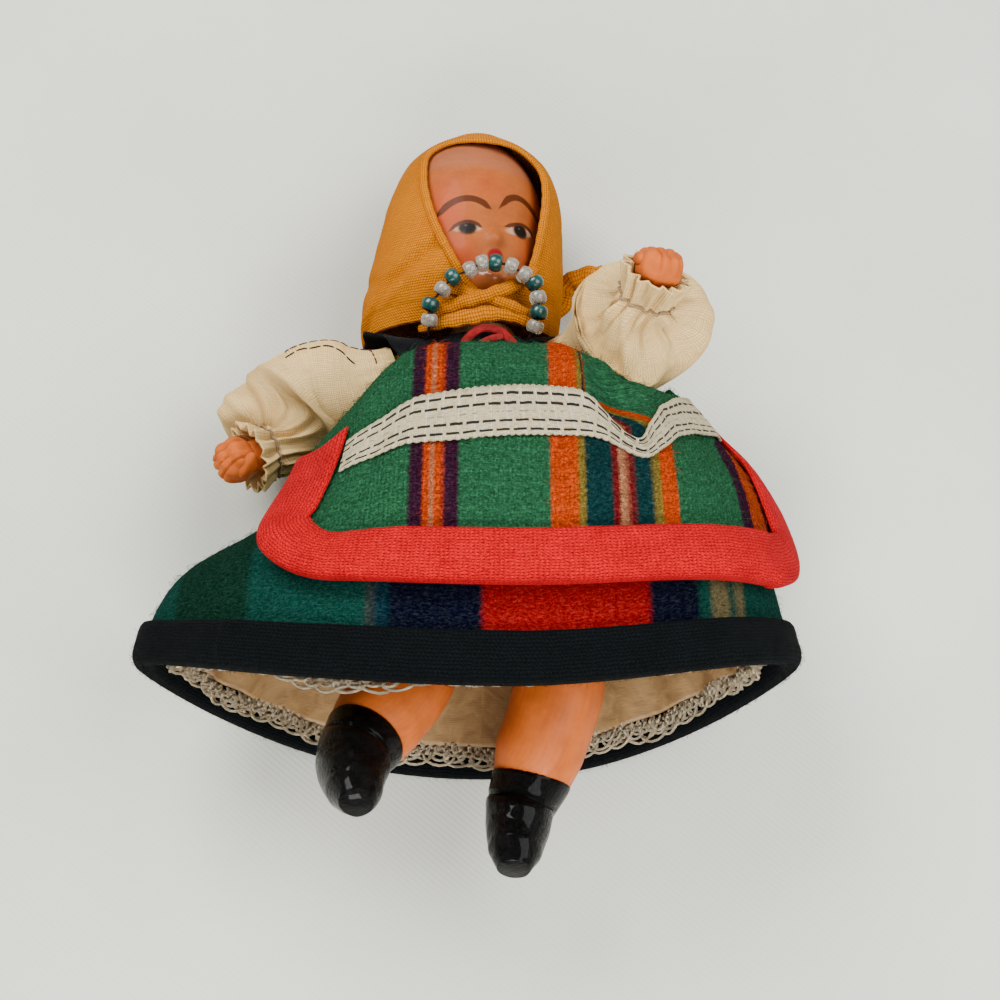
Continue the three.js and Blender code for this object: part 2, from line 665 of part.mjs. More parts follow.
function hemBraid() {
  const section = bindingSection(HEM_BRAID_WIDTH, SKIRT_CLOTH / 2, HEM_BRAID_THICK, CLEARANCE);
  const rings = roundAngles.map((a) => {
    return section.map(([inward, side]) => dress(a, 1 - inward / HEM_SLOPE, side));
  });
  return shell(rings, 'wrap');
}

// Apron: a panel over the skirt, with round lower corners. Its angles are those of its lower half;
// higher up both sides lean back, the left one under the sleeve.
const APRON_GAP = 1.1; // the wool stands off the skirt
const APRON_FOLDS = [
  { at: 26, t: 0.24, rise: 1.4, wide: 5, tall: 0.12 },
  { at: 43, t: 0.24, rise: 1.2, wide: 6, tall: 0.12 },
];
const APRON = {
  left: -44,
  right: 84,
  bottom: 0.765,
  corner: 20,
  leftDrop: 0.27,
  rightDrop: 0.14,
  sideTop: 0.24,
};
// Lean of its sides: a share of the angle (on the right of what passes 50 degrees), full down to one
// share of the length and gone at the next; the right side keeps straight above LEAN_START
const LEAN = { left: 0.3, right: 0.9, from: 50, full: 0.2, none: 0.64 };
const LEAN_START = [0.05, 0.16];
const BOTTOM_SLANT = { share: 0.02, from: 30, to: 80 };

function apronAngle(degrees, t) {
  const share = 1 - smooth(t, LEAN.full, LEAN.none);
  const right = LEAN.right * smooth(t, ...LEAN_START) * Math.max(degrees - LEAN.from, 0);
  const more = LEAN.left * Math.min(degrees, 0) + right;
  return (degrees + share * more) * DEG;
}

function folds(list, degrees, t) {
  return list.reduce((sum, f) => {
    return sum + f.rise * Math.exp(-(((degrees - f.at) / f.wide) ** 2) - ((t - f.t) / f.tall) ** 2);
  }, 0);
}

function apronLift(degrees, t) {
  const onSkirt = SKIRT_CLOTH / 2 + APRON_GAP + APRON_CLOTH / 2 + folds(APRON_FOLDS, degrees, t);
  const fromSide = Math.min(degrees - APRON.left, APRON.right - degrees);
  const beside = (1 - smooth(fromSide, 18, 26)) * smooth(t, 0.1, APRON.sideTop - 0.02);
  const overBraid = Math.max(smooth(t, 0.3, 0.58), beside);
  return onSkirt + (APRON_BRAID_THICK + BRAID_GAP) * overBraid;
}

function apronPoint(degrees, t, side) {
  return dress(apronAngle(degrees, t), t, apronLift(degrees, t) + side);
}

function apronBottom(degrees, inset = 0) {
  const near = Math.min(degrees - APRON.left - inset, APRON.right - inset - degrees);
  const q = THREE.MathUtils.clamp(1 - near / APRON.corner, 0, 1);
  const drop = degrees < 0 ? APRON.leftDrop : APRON.rightDrop;
  const slant = BOTTOM_SLANT.share * smooth(degrees, BOTTOM_SLANT.from, BOTTOM_SLANT.to);
  return APRON.bottom - drop * (1 - Math.sqrt(1 - q * q)) + slant;
}

function apron() {
  const rings = [];
  const columns = 30;
  const inset = 0.6;
  const half = APRON_CLOTH / 2;
  for (let i = 0; i <= columns; i++) {
    const degrees = APRON.left + inset + ((APRON.right - APRON.left - 2 * inset) * i) / columns;
    const bottom = apronBottom(degrees, inset) - CLEARANCE / HEM_SLOPE;
    const last = CREST_SHARES[CREST_SHARES.length - 1];
    const shares = [...CREST_SHARES, 0.26, (last + bottom) / 2, bottom].sort((a, b) => a - b);
    rings.push([
      ...shares.map((t) => apronPoint(degrees, t, half)),
      ...[...shares].reverse().map((t) => apronPoint(degrees, t, -half)),
    ]);
  }
  return shell(rings, 'zip', true);
}

// Edge of the apron from the top of its left side, round both corners, to the top of its right side:
// an angle, a share of the length and the way inwards
function apronEdge() {
  const edge = [];
  const { left, right, corner, leftDrop, rightDrop, sideTop } = APRON;
  for (let i = 0; i < 5; i++) {
    edge.push([left, sideTop + ((apronBottom(left) - sideTop) * i) / 5, 1, 0]);
  }
  for (let i = 0; i <= 7; i++) {
    const a = (i / 7) * 90 * DEG;
    const degrees = left + corner * (1 - Math.cos(a));
    edge.push([degrees, apronBottom(left) + leftDrop * Math.sin(a), Math.cos(a), -Math.sin(a)]);
  }
  for (let i = 1; i < 16; i++) {
    const degrees = left + corner + ((right - left - 2 * corner) * i) / 16;
    edge.push([degrees, apronBottom(degrees), 0, -1]);
  }
  for (let i = 0; i <= 7; i++) {
    const a = (i / 7) * 90 * DEG;
    const degrees = right - corner * (1 - Math.sin(a));
    edge.push([degrees, apronBottom(right) + rightDrop * Math.cos(a), -Math.sin(a), -Math.cos(a)]);
  }
  for (let i = 1; i <= 5; i++) {
    edge.push([right, apronBottom(right) + ((sideTop - apronBottom(right)) * i) / 5, -1, 0]);
  }
  return edge;
}

// Millimetres of the dress for one degree round it and for one unit of its length
function dressScale(degrees, t) {
  const angle = apronAngle(degrees, t);
  const round = sunk(clothMiddle(angle + 0.01, t)).distanceTo(sunk(clothMiddle(angle - 0.01, t))) / 0.02;
  const down = sunk(clothMiddle(angle, t + 0.01)).distanceTo(sunk(clothMiddle(angle, t - 0.01))) / 0.02;
  return [round * DEG, down];
}

function apronBraid() {
  const section = bindingSection(APRON_BRAID_WIDTH, APRON_CLOTH / 2, APRON_BRAID_THICK, BRAID_GAP);
  const rings = apronEdge().map(([degrees, t, inX, inT]) => {
    const [round, down] = dressScale(degrees, t);
    return section.map(([inward, side]) => {
      return apronPoint(degrees + (inX * inward) / round, t + (inT * inward) / down, side);
    });
  });
  return shell(rings, 'zip');
}

// Woven ribbon sewn across the apron, its ends under the braid's inner edges, pinched in one place.
// Columns: angle, share of the length at its upper edge, and the part of its width that lies open.
const RIBBON = [
  [-44, 0.23, 0.9], [-28, 0.262, 0.85], [-18, 0.293, 0.98], [-6, 0.288, 1.04],
  [3, 0.277, 1.04], [18, 0.272, 1.04], [27, 0.28, 0.85], [35.2, 0.322, 0.42],
  [42, 0.292, 0.62], [50, 0.25, 0.78], [61, 0.218, 1.04], [90, 0.22, 1.1],
];
const RIBBON_END = 0.24; // share of the length where its ends meet the braid

function apronRibbon() {
  const rings = [];
  const columns = 28;
  const [leftMm] = dressScale(APRON.left, RIBBON_END);
  const [rightMm] = dressScale(APRON.right, RIBBON_END);
  const from = APRON.left + (APRON_BRAID_WIDTH + CLEARANCE) / leftMm;
  const to = APRON.right - (APRON_BRAID_WIDTH + CLEARANCE) / rightMm;
  const under = APRON_CLOTH / 2 + CLEARANCE;
  for (let i = 0; i <= columns; i++) {
    const degrees = from + ((to - from) * i) / columns;
    const [top, open] = along(RIBBON, degrees);
    const [, down] = dressScale(degrees, top + 0.05);
    const shares = [0, 0.5, 1].map((s) => top + (s * open * RIBBON_WIDTH) / down);
    rings.push([
      ...shares.map((t) => apronPoint(degrees, t, under + RIBBON_THICK)),
      ...[...shares].reverse().map((t) => apronPoint(degrees, t, under)),
    ]);
  }
  return shell(rings, 'zip', true);
}

// Bodice ribbon: an arched band tied at the neck, laid over the bodice's front
function bodiceRibbon() {
  const arch = [
    V(-0.8, 19.6, 27.9), V(0.8, 22, 28.1), V(3, 22.8, 28.1), V(5.2, 21.8, 28), V(6.6, 19.6, 27.9),
  ];
  const sizes = arch.map(() => [1.2, 0.3]);
  return shell(pathRings(arch, sizes, V(0.1, 1, 0), 10, 8));
}

// Headscarf: a square of cotton round the head, crossed under the chin and knotted behind
const SCARF = [
  [24.8, -18, 14.6, 26.2, 1],
  [28.5, -18.4, 15.2, 27, 1],
  [33, -18.2, 15.5, 27.9, 1],
  [38, -16.9, 15.7, 28.6, 1],
  [44, -15.6, 15.7, 28.8, 1],
  [50, -14.2, 15.4, 28.2, 1.3],
  [56, -11.9, 13.6, 26, 2.8],
  [60.5, -8.6, 10.4, 22.6, 5.6],
  [64.2, -3.6, 5.6, 18, 9.6],
];
// Edge of the opening for the face, as seen from the front, taken at this height
const OPENING_Z = 26;
const OPENING = [
  [3, 57.8], [7.4, 56.7], [11.6, 52.4], [12.4, 48.2], [11.4, 39.6], [9.8, 33.6],
  [6.6, 29.2], [3.4, 28.1], [0.4, 30], [-2.6, 35.6], [-5.3, 42.4], [-7, 49.8], [-6.4, 55.2], [-3, 57.6],
];
const OPENING_AXIS = V(0, -0.309, 0.951);

function headscarf() {
  const top = SCARF[SCARF.length - 1][0];
  const heights = [SCARF[0][0], 27.5, 31, 36, 41, 46, 51, 55.5, 59.4, 62.4, top];
  const outer = stackRings(SCARF, heights, 18);
  const lower = heights.map((y) => Math.min(y, top - SCARF_CLOTH));
  const inner = stackRings(SCARF, lower, 18, -SCARF_CLOTH);
  const hood = cut(shell(outer), shell([outer[0].map((p) => V(p.x, 23, p.z)), ...inner]));
  const edge = OPENING.map(([x, y]) => V(x, y, OPENING_Z));
  const outline = new THREE.CatmullRomCurve3(edge, true).getSpacedPoints(18);
  outline.pop();
  const rings = [-8, 12].map((reach) => outline.map((p) => p.clone().addScaledVector(OPENING_AXIS, reach)));
  const rolls = [
    [V(-6.4, 31.4, 25), V(-3, 28.8, 26.6), V(1.4, 27.2, 27.3), V(5.6, 26.2, 27.2), V(9.4, 25.6, 25.8)],
    [V(-5.2, 25.9, 26), V(0, 26.4, 27), V(4.2, 27.6, 27.2), V(7.6, 29.3, 26.6), V(9.6, 31.8, 25.2)],
  ].map((path) => shell(pathRings(path, path.map(() => [1.25, 0.8]), V(0, 1, 0), 6, 6)));
  const tail = [V(9.5, 34.2, 9), V(14, 36, 7.6), V(17.5, 38.4, 8.6), V(21, 39, 10.4)];
  const tailSizes = [[2.2, 2], [2.4, 1.8], [2.1, 1.4], [2.6, 1.1]];
  const knot = shell(pathRings(tail, tailSizes, V(0, 1, 0), 6, 7));
  const neck = new THREE.CylinderGeometry(8, 8, 5, 20).translate(BODY_X, 24.5, NECK_Z);
  return cut(joined(cut(hood, shell(rings)), ...rolls, knot), neck, headRoom());
}

// Space that the head takes inside the scarf, with its clearance
function headRoom() {
  const heights = [26, 28.2, 29.6, 31.5, 34, 37.5, 42, 47, 52, 56, 59, 61, 62.6];
  return onHead(shell(stackRings(HEAD.map((row, i) => {
    const push = i > 1 ? 0.75 : 0.4;
    return [row[0], row[1] - push, row[2] + push, row[3] + push, row[4] - push];
  }), heights, 18)));
}

// Necklace: beads on a thread, slipped up over the mouth, and down to the neck under the scarf
const BEADS = [
  ['clear', -6.3, 23.7, 28.2],
  ['green', -6.2, 26.2, 28.6],
  ['clear', -4.2, 28.5, 29.4],
  ['green', -2.6, 30.4, 29.9],
  ['clear', 0.9, 32.7, 30.2],
  ['clear', 3, 33.9, 30.4],
  ['green', 5.4, 34, 30.5],
  ['clear', 7.6, 33.4, 30.2],
  ['clear', 9.4, 31.9, 29.6],
  ['green', 10.6, 29.8, 29],
  ['clear', 11.1, 27.5, 28.4],
  ['green', 11.2, 25.1, 28],
  ['clear', 10.6, 22.8, 27.6],
];
const NECKLACE_BACK = [
  V(9.6, 21.4, 26.2), V(9.8, 22.6, 22.4), V(9.4, 24.8, 19), V(8.6, 25.2, 14), V(2, 25.2, 9.9),
  V(-4.6, 25.2, 14), V(-6.2, 24.6, 19.4), V(-7, 22.8, 22.6), V(-6.6, 22, 26.4),
];

function necklaceLine() {
  return new THREE.CatmullRomCurve3([...BEADS.map(([, x, y, z]) => V(x, y, z)), ...NECKLACE_BACK], true);
}

function bead(index) {
  const profile = [];
  const half = BEAD_LENGTH / 2;
  const bulge = (BEAD_RADIUS - BEAD_BORE) / 2;
  for (let i = 0; i <= 5; i++) {
    const q = (i / 5) * 2 * Math.PI;
    profile.push(new THREE.Vector2(BEAD_BORE + bulge * (1 + Math.cos(q)), half * Math.sin(q)));
  }
  const line = necklaceLine();
  const along = line.getTangent(index / line.points.length);
  const turn = new THREE.Quaternion().setFromUnitVectors(V(0, 1, 0), along);
  const [, x, y, z] = BEADS[index];
  return new THREE.LatheGeometry(profile, 6).applyQuaternion(turn).translate(x, y, z);
}

// Assembly

const FINISHES = {
  flesh: [0xd7915a, 0.45, 0],
  composition: [0xc99266, 0.8, 0],
  elastic: [0xe8e2d2, 0.9, 0],
  wire: [0x8d8d88, 0.4, 1],
  cotton: [0xdccbb0, 0.9, 0],
  velvet: [0x15161a, 1, 0],
  redRibbon: [0xb4122a, 0.7, 0],
  wool: [0x3c8a6c, 1, 0],
  darkWool: [0x12604a, 1, 0],
  redBraid: [0xd8374a, 0.95, 0],
  blackBraid: [0x14161a, 0.95, 0],
  ribbon: [0xe3ddcb, 0.7, 0],
  lining: [0xc4ab84, 0.75, 0],
  lace: [0xe0d0b4, 0.9, 0],
  scarf: [0xdca03a, 0.9, 0],
  green: [0x1f7a70, 0.2, 0],
  clear: [0xe6ece6, 0.15, 0],
  thread: [0x4a1418, 0.8, 0],
};

const doll = new THREE.Group();
const onTorso = new THREE.Group();
const onNeck = new THREE.Group();
doll.add(onTorso, onNeck);

function add(name, geometry, finish, group = onTorso) {
  const [color, roughness, metalness] = FINISHES[finish];
  const mesh = new THREE.Mesh(geometry, new THREE.MeshStandardMaterial({ color, roughness, metalness }));
  mesh.name = name;
  group.add(mesh);
}

add('torso', torso(), 'composition');
add('shoulder_elastic', elastic(SHOULDER_SPREAD, SHOULDER_Y, SHOULDER_Z), 'elastic');
add('hip_elastic', elastic(HIP_SPREAD, HIP_Y, HIP_Z), 'elastic');
add('blouse_body', bodyShell(BLOUSE_GAP, BLOUSE_CLOTH, 5.5, 22.2, ARM_BALL + 1), 'cotton');
add('bodice', bodyShell(BODICE_GAP, BODICE_CLOTH, 6.5, 21.8, ARM_BALL + 1.6), 'velvet');
add('bodice_ribbon', bodiceRibbon(), 'redRibbon');
add('waistband', waistband(), 'cotton');
add('petticoat', petticoat(), 'lining');
add('petticoat_lace', lace(), 'lace');
add('skirt', skirt(), 'darkWool');
add('skirt_hem_braid', hemBraid(), 'blackBraid');
add('apron', apron(), 'wool');
add('apron_braid', apronBraid(), 'redBraid');
add('apron_ribbon', apronRibbon(), 'ribbon');

add('head', headCasting(), 'flesh', onNeck);
add('neck_hook', neckHook(), 'wire', onNeck);
add('headscarf', headscarf(), 'scarf', onNeck);
const strand = necklaceLine().getSpacedPoints(60).slice(0, 60);
add('necklace_thread', tube(strand, THREAD_RADIUS, 44, 8, true), 'thread', onNeck);
const strung = { green: 0, clear: 0 };
BEADS.forEach(([glass], i) => {
  strung[glass] += 1;
  add(glass + '_bead_' + strung[glass], bead(i), glass, onNeck);
});

for (const side of ['left', 'right']) {
  const armGroup = new THREE.Group();
  const legGroup = new THREE.Group();
  doll.add(armGroup, legGroup);
  add(side + '_arm', arm(side), 'flesh', armGroup);
  add(side + '_sleeve', sleeve(side), 'cotton', armGroup);
  add(side + '_wrist_thread', wristThread(side), 'cotton', armGroup);
  add(side + '_leg', leg(side), 'flesh', legGroup);
}

export default doll;
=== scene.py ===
"""Looks of a strung composition doll in regional dress, lying on its back, seen from above its feet.

Every piece is a surface written as a function of two parameters on a grid, in millimetres.
"""
import math
import bmesh
import bpy
import numpy as np
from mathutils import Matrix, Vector


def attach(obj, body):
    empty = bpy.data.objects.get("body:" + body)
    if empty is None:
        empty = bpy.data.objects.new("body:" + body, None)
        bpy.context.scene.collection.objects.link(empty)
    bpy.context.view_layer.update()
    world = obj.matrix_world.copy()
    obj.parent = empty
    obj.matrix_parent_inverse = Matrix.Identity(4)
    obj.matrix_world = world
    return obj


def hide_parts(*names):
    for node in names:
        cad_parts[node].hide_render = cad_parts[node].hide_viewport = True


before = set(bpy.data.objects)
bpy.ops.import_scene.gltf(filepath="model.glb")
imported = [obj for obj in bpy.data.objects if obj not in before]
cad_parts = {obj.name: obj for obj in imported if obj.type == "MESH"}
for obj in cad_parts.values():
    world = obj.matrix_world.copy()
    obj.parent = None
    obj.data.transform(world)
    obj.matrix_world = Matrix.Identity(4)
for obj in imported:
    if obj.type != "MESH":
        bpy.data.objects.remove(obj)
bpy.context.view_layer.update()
SEED = 20
MM = 0.001
CAMERA_PLACE = (0.005, -0.0930, 0.2939)
CAMERA_TILT = 18
LENS, SENSOR_WIDTH = 64.8, 36

camera_data = bpy.data.cameras.new("view_camera")
camera_data.lens = LENS
camera_data.sensor_width = SENSOR_WIDTH
camera = bpy.data.objects.new("view_camera", camera_data)
camera.location = CAMERA_PLACE
camera.rotation_euler = (math.radians(CAMERA_TILT), 0, 0)
bpy.context.scene.collection.objects.link(camera)
bpy.context.scene.camera = camera

# Shapes in numpy. Millimetres until a mesh is made; +Z is the doll's front, +Y its head.


def unit(v):
    """Each vector divided by its length."""
    return v / np.maximum(np.linalg.norm(v, axis=-1, keepdims=True), 1e-12)


def ease(x, a, b):
    """3s^2 - 2s^3 with s = (x - a) / (b - a) kept from 0 to 1."""
    s = np.clip((np.asarray(x, float) - a) / (b - a), 0, 1)
    return s * s * (3 - 2 * s)


def bump(x, at, wide):
    """exp(-((x - at) / wide)^2)."""
    return np.exp(-(((x - at) / wide) ** 2))


def along(table, u):
    """Cubic Hermite curve through the rows of a table, its first column being u."""
    rows = np.array(table, float)
    x, v = rows[:, 0], rows[:, 1:]
    n = len(x) - 1
    u = np.asarray(u, float)
    i = np.clip(np.searchsorted(x, u) - 1, 0, n - 1)
    before, after = np.maximum(i - 1, 0), np.minimum(i + 2, n)
    h = (x[i + 1] - x[i])[..., None]
    s = (u - x[i])[..., None] / h
    a, b = v[i], v[i + 1]
    span_before = np.where(i > 0, x[i + 1] - x[before], 1)[..., None]
    span_after = np.where(i < n - 1, x[after] - x[i], 1)[..., None]
    m0 = np.where((i > 0)[..., None], (b - v[before]) / span_before * h, b - a)
    m1 = np.where((i < n - 1)[..., None], (v[after] - a) / span_after * h, b - a)
    s2, s3 = s * s, s**3
    value = (2 * s3 - 3 * s2 + 1) * a + (s3 - 2 * s2 + s) * m0 + (3 * s2 - 2 * s3) * b + (s3 - s2) * m1
    return np.moveaxis(value, -1, 0)


def spline(points, u, closed=False):
    """Centripetal Catmull-Rom curve through points, at u from 0 to 1."""
    p = np.array(points, float)
    n = len(p)
    span = n if closed else n - 1
    w = np.asarray(u, float) * span
    i = np.floor(w).astype(int) if closed else np.clip(np.floor(w).astype(int), 0, n - 2)
    f = (w - i)[..., None]
    if closed:
        p0, p1, p2, p3 = (p[(i + k) % n] for k in (-1, 0, 1, 2))
    else:
        q = np.vstack([2 * p[0] - p[1], p, 2 * p[-1] - p[-2]])
        p0, p1, p2, p3 = (q[i + k] for k in range(4))
    gap = [
        np.maximum(np.linalg.norm(b - a, axis=-1, keepdims=True) ** 0.5, 1e-4)
        for a, b in ((p0, p1), (p1, p2), (p2, p3))
    ]
    d0, d1, d2 = gap
    t1 = ((p1 - p0) / d0 - (p2 - p0) / (d0 + d1) + (p2 - p1) / d1) * d1
    t2 = ((p2 - p1) / d1 - (p3 - p1) / (d1 + d2) + (p3 - p2) / d2) * d1
    return p1 + t1 * f + (-3 * p1 + 3 * p2 - 2 * t1 - t2) * f**2 + (2 * p1 - 2 * p2 + t1 + t2) * f**3


def spaced(points, count, closed=False):
    """count + 1 points at equal distances along the spline; the last meets the first when closed."""
    fine = spline(points, np.linspace(0, 1, 60 * len(points)), closed)
    reach = lengths_along(fine)
    want = np.linspace(0, reach[-1], count + 1)
    return np.stack([np.interp(want, reach, fine[:, k]) for k in range(3)], 1)


def path_rings(path, sizes, side, u, q, swell=None):
    """Rings square to a spline: middle + across (a + swell) cos q + deep (b + swell) sin q."""
    e = 1e-4
    middle = spline(path, u)
    ahead = unit(spline(path, np.clip(u + e, 0, 1)) - spline(path, np.clip(u - e, 0, 1)))
    side = np.array(side, float)
    across = unit(side - ahead * (ahead @ side)[:, None])
    deep = np.cross(ahead, across)
    half_sizes = spline(np.array([[a, b, 0] for a, b in sizes], float), u)
    more = 0 if swell is None else swell
    a = half_sizes[:, :1] + more
    b = half_sizes[:, 1:2] + more
    sideways = across[:, None] * (a * np.cos(q))[..., None]
    return middle[:, None] + sideways + deep[:, None] * (b * np.sin(q))[..., None]


def tube_grid(line, radius, sides=8, closed=False):
    """Round tube: line + radius (n cos q + b sin q), n and b carried along with the least turning."""
    line = np.array(line, float)
    ahead = unit(np.roll(line, -1, 0) - np.roll(line, 1, 0)) if closed else unit(np.gradient(line, axis=0))
    first = np.cross(ahead[0], [0.31, 0.52, 0.79])
    normals = [unit(first)]
    for k in range(1, len(line)):
        n = normals[-1] - ahead[k] * (normals[-1] @ ahead[k])
        normals.append(unit(n))
    normals = np.array(normals)
    if closed:
        last = normals[-1] - ahead[0] * (normals[-1] @ ahead[0])
        twist = math.atan2(np.cross(unit(last), normals[0]) @ ahead[0], unit(last) @ normals[0])
        turn = np.linspace(0, twist, len(line))[:, None]
        normals = normals * np.cos(turn) + np.cross(ahead, normals) * np.sin(turn)
        line, ahead, normals = (np.vstack([x, x[:1]]) for x in (line, ahead, normals))
    across = np.cross(ahead, normals)
    q = np.linspace(0, 2 * np.pi, sides + 1)
    r = np.broadcast_to(np.asarray(radius, float), (len(line),))[:, None, None]
    ring = normals[:, None] * np.cos(q)[None, :, None] + across[:, None] * np.sin(q)[None, :, None]
    return line[:, None] + r * ring


def capped(grid):
    """Both open ends of a grid of rings closed to their middles."""
    first, last = grid[:1].mean(1, keepdims=True), grid[-1:].mean(1, keepdims=True)
    return np.concatenate(
        [np.broadcast_to(first, grid[:1].shape), grid, np.broadcast_to(last, grid[-1:].shape)]
    )


def ends_doubled(values):
    """One more copy of the first and of the last row, as capped adds to a grid."""
    return np.concatenate([values[:1], values, values[-1:]])


def both_faces(outer, inner):
    """Columns of a cloth's outer face, then those of its inner face backwards, then the first again."""
    return np.concatenate([outer, inner[:, ::-1], outer[:, :1]], 1)


def closed_sheet(outer, inner):
    """A cloth's two faces joined all round; its end rows close on the middle between the faces."""
    first, last = (outer[:1] + inner[:1]) / 2, (outer[-1:] + inner[-1:]) / 2
    return np.concatenate([both_faces(first, first), both_faces(outer, inner), both_faces(last, last)])


def lengths_along(line):
    """Distance from the start of a line to each of its points."""
    return np.concatenate([[0], np.cumsum(np.linalg.norm(np.diff(line, axis=0), axis=1))])


def ball_grid(centre, radii, wide=32, high=20, power=1.0):
    """Ellipsoid by longitude and latitude; a power below 1 makes it squarer."""
    q = np.linspace(0, 2 * np.pi, wide + 1)[None, :]
    h = np.linspace(-np.pi / 2, np.pi / 2, high + 1)[:, None]

    def soft(v):
        return np.sign(v) * np.abs(v) ** power

    x, y, z = soft(np.cos(h)) * soft(np.cos(q)), soft(np.cos(h)) * soft(np.sin(q)), soft(np.sin(h)) + 0 * q
    return np.stack([x, y, z], -1) * np.array(radii) + np.array(centre)


def turned(points, axis, degrees, about=(0, 0, 0)):
    """Rodrigues turn about an axis through a point."""
    k = unit(np.array(axis, float))
    p = points - np.array(about, float)
    c, s = math.cos(math.radians(degrees)), math.sin(math.radians(degrees))
    return p * c + np.cross(k, p) * s + k * (p @ k)[..., None] * (1 - c) + np.array(about, float)


def soft_waves(x, y, seed):
    """Smooth waves in two directions: a sum of nine sines with seeded turns and phases."""
    rng = np.random.default_rng(seed)
    total = 0
    for k in range(9):
        turn, phase = rng.uniform(0, 2 * np.pi, 2)
        pace = 0.6 + 0.35 * k
        total = total + np.sin(pace * (x * math.cos(turn) + y * math.sin(turn)) + phase) / (1 + 0.35 * k)
    return total / 4.5


BODY_X = 2.0
SHOULDER = np.array([0, 18.0, 18.0])
SKIRT = [
    [0, 10, 10, 10, -11.6, 15.6, 29.4, 6.2],
    [0.05, 11.2, 12.0, 12, -15.2, 19.2, 34, 4],
    [0.1, 12.0, 12.4, 12, -19, 24.5, 39.4, 2.6],
    [0.17, 9.6, 9.2, 8, -23.5, 30, 43.8, 2.1],
    [0.3, 1.2, 1.2, 0, -28.5, 35.7, 46.6, 2.1],
    [0.48, -9, -7, -12, -36, 41.5, 48.2, 2.1],
    [0.64, -18.5, -15, -22, -42.3, 45, 49, 2.1],
    [0.85, -31, -25.2, -35.5, -47.3, 47.4, 49.7, 2.1],
    [1, -39.3, -32, -44.6, -48.8, 48.8, 49.9, 2.1],
]
LIE_Z = 2.0
HEM_SLOPE = 60.0
SKIRT_FOLDS = [
    (-20, 0.95, 1, 13, 0.3), (12, 1, -1, 12, 0.3), (46, 0.95, 1, 13, 0.3), (-62, 0.9, -1.2, 11, 0.25)
]
APRON_FOLDS = [(26, 0.24, 1.4, 5, 0.12), (43, 0.24, 1.2, 6, 0.12)]
LEFT_SWEEP = [
    [-48, 0], [-45.5, 0], [-43, 0], [-40.5, 12.25], [-38, 17.16], [-35.5, 19.35], [-33, 19.35],
    [-30.5, 19.35], [-28, 17.12], [-25.5, 17.28], [-23, 17.28], [-20.5, 15.85], [-18, 13.94], [-15.5, 9.47],
    [-13, 9.47], [-10.5, 7.91], [-8, 6.73],
]
RIGHT_ROOM = [
    (21.1, 18.62, 25.73, 8.1), (23.22, 19.3, 28.58, 9.4), (24.42, 20.07, 31.59, 10),
    (25.61, 20.83, 34.61, 10.6), (25.94, 20.59, 36.95, 7.3),
]
DRESS_THICK = 5.1


def sagged(p):
    """The dress sunk under the left sleeve: y falls by 11 where x is past -6, eased in towards the
    waist and the front."""
    p = p.copy()
    p[..., 1] -= 11 * ease(-p[..., 0], 6, 24) * ease(p[..., 1], -26, 4) * ease(p[..., 2], 6, 22)
    return p


def folds(table, degrees, t):
    """Sum of rises, each exp(-(degrees off / wide)^2 - (share off / tall)^2)."""
    return sum(
        rise * np.exp(-(((degrees - at) / wide) ** 2) - ((t - mid) / tall) ** 2)
        for at, mid, rise, wide, tall in table
    )


def pressed(p, lift):
    """The dress kept out of the sleeves' room, pushed down about the left one and out of the right,
    and off the table."""
    p = p.copy()
    room = along(LEFT_SWEEP, np.clip(p[..., 0], -48, -8))[0] + DRESS_THICK - lift
    y, z = p[..., 1] - SHOULDER[1], p[..., 2] - SHOULDER[2]
    inside = (p[..., 0] < -8) & (np.hypot(y, z) < room)
    p[..., 1] = np.where(inside, SHOULDER[1] - np.sqrt(np.maximum(room**2 - z**2, 0)), p[..., 1])
    for x, y, z, radius in RIGHT_ROOM:
        room = radius + DRESS_THICK - lift
        middle = np.array([x, y, z])
        away = p - middle
        far = np.linalg.norm(away, axis=-1)
        out = middle + unit(away) * np.asarray(room)[..., None]
        p = np.where((far < room)[..., None], out, p)
    p[..., 2] = np.maximum(p[..., 2], LIE_Z - lift)
    return p


def cloth_middle(angle, t):
    """Middle of the skirt's cloth at an angle from the front and a share of the length:
    y = (front or back) cos^2 + side sin^2, x = reach sin, z = middle + half depth cos."""
    front_y, side_y, back_y, left, right, front, back = along(SKIRT, np.minimum(t, 1))
    c, s = np.cos(angle), np.sin(angle)
    y = np.where(c > 0, front_y, back_y) * c * c + side_y * s * s - np.maximum(t - 1, 0) * HEM_SLOPE
    x = np.where(s > 0, BODY_X + (right - BODY_X) * s, BODY_X + (BODY_X - left) * s)
    z = (front + back) / 2 + ((front - back) / 2 + 1.6 * ease(-c, 0, 1)) * c
    return np.stack([x, y, z], -1)


def gathers(angle, t):
    """Fine folds that fade from the waist seam: two beating waves round the waist times exp(-t / 0.1)."""
    wave = np.sin(61 * angle) * 0.6 + np.sin(47 * angle + 1.3) * 0.4
    return 0.45 * wave * np.exp(-t / 0.1) * ease(t, 0, 0.03)


def dress(angle, t, lift, waves=0.0):
    """The skirt's middle moved along its normal by lift, the folds and a share of the gathers,
    then pressed."""
    angle, t, lift = np.broadcast_arrays(
        np.asarray(angle, float), np.asarray(t, float), np.asarray(lift, float)
    )
    e = 0.02
    p = cloth_middle(angle, t)
    around = cloth_middle(angle + e, t) - cloth_middle(angle - e, t)
    down = cloth_middle(angle, np.minimum(t + e, 1.05)) - cloth_middle(angle, np.maximum(t - e, 0))
    out = unit(np.cross(down, around))
    degrees = np.degrees(angle)
    degrees = np.where(degrees > 180, degrees - 360, degrees)
    more = folds(SKIRT_FOLDS, degrees, t) + waves * gathers(angle, t)
    return pressed(sagged(p + out * (lift + more)[..., None]), lift)


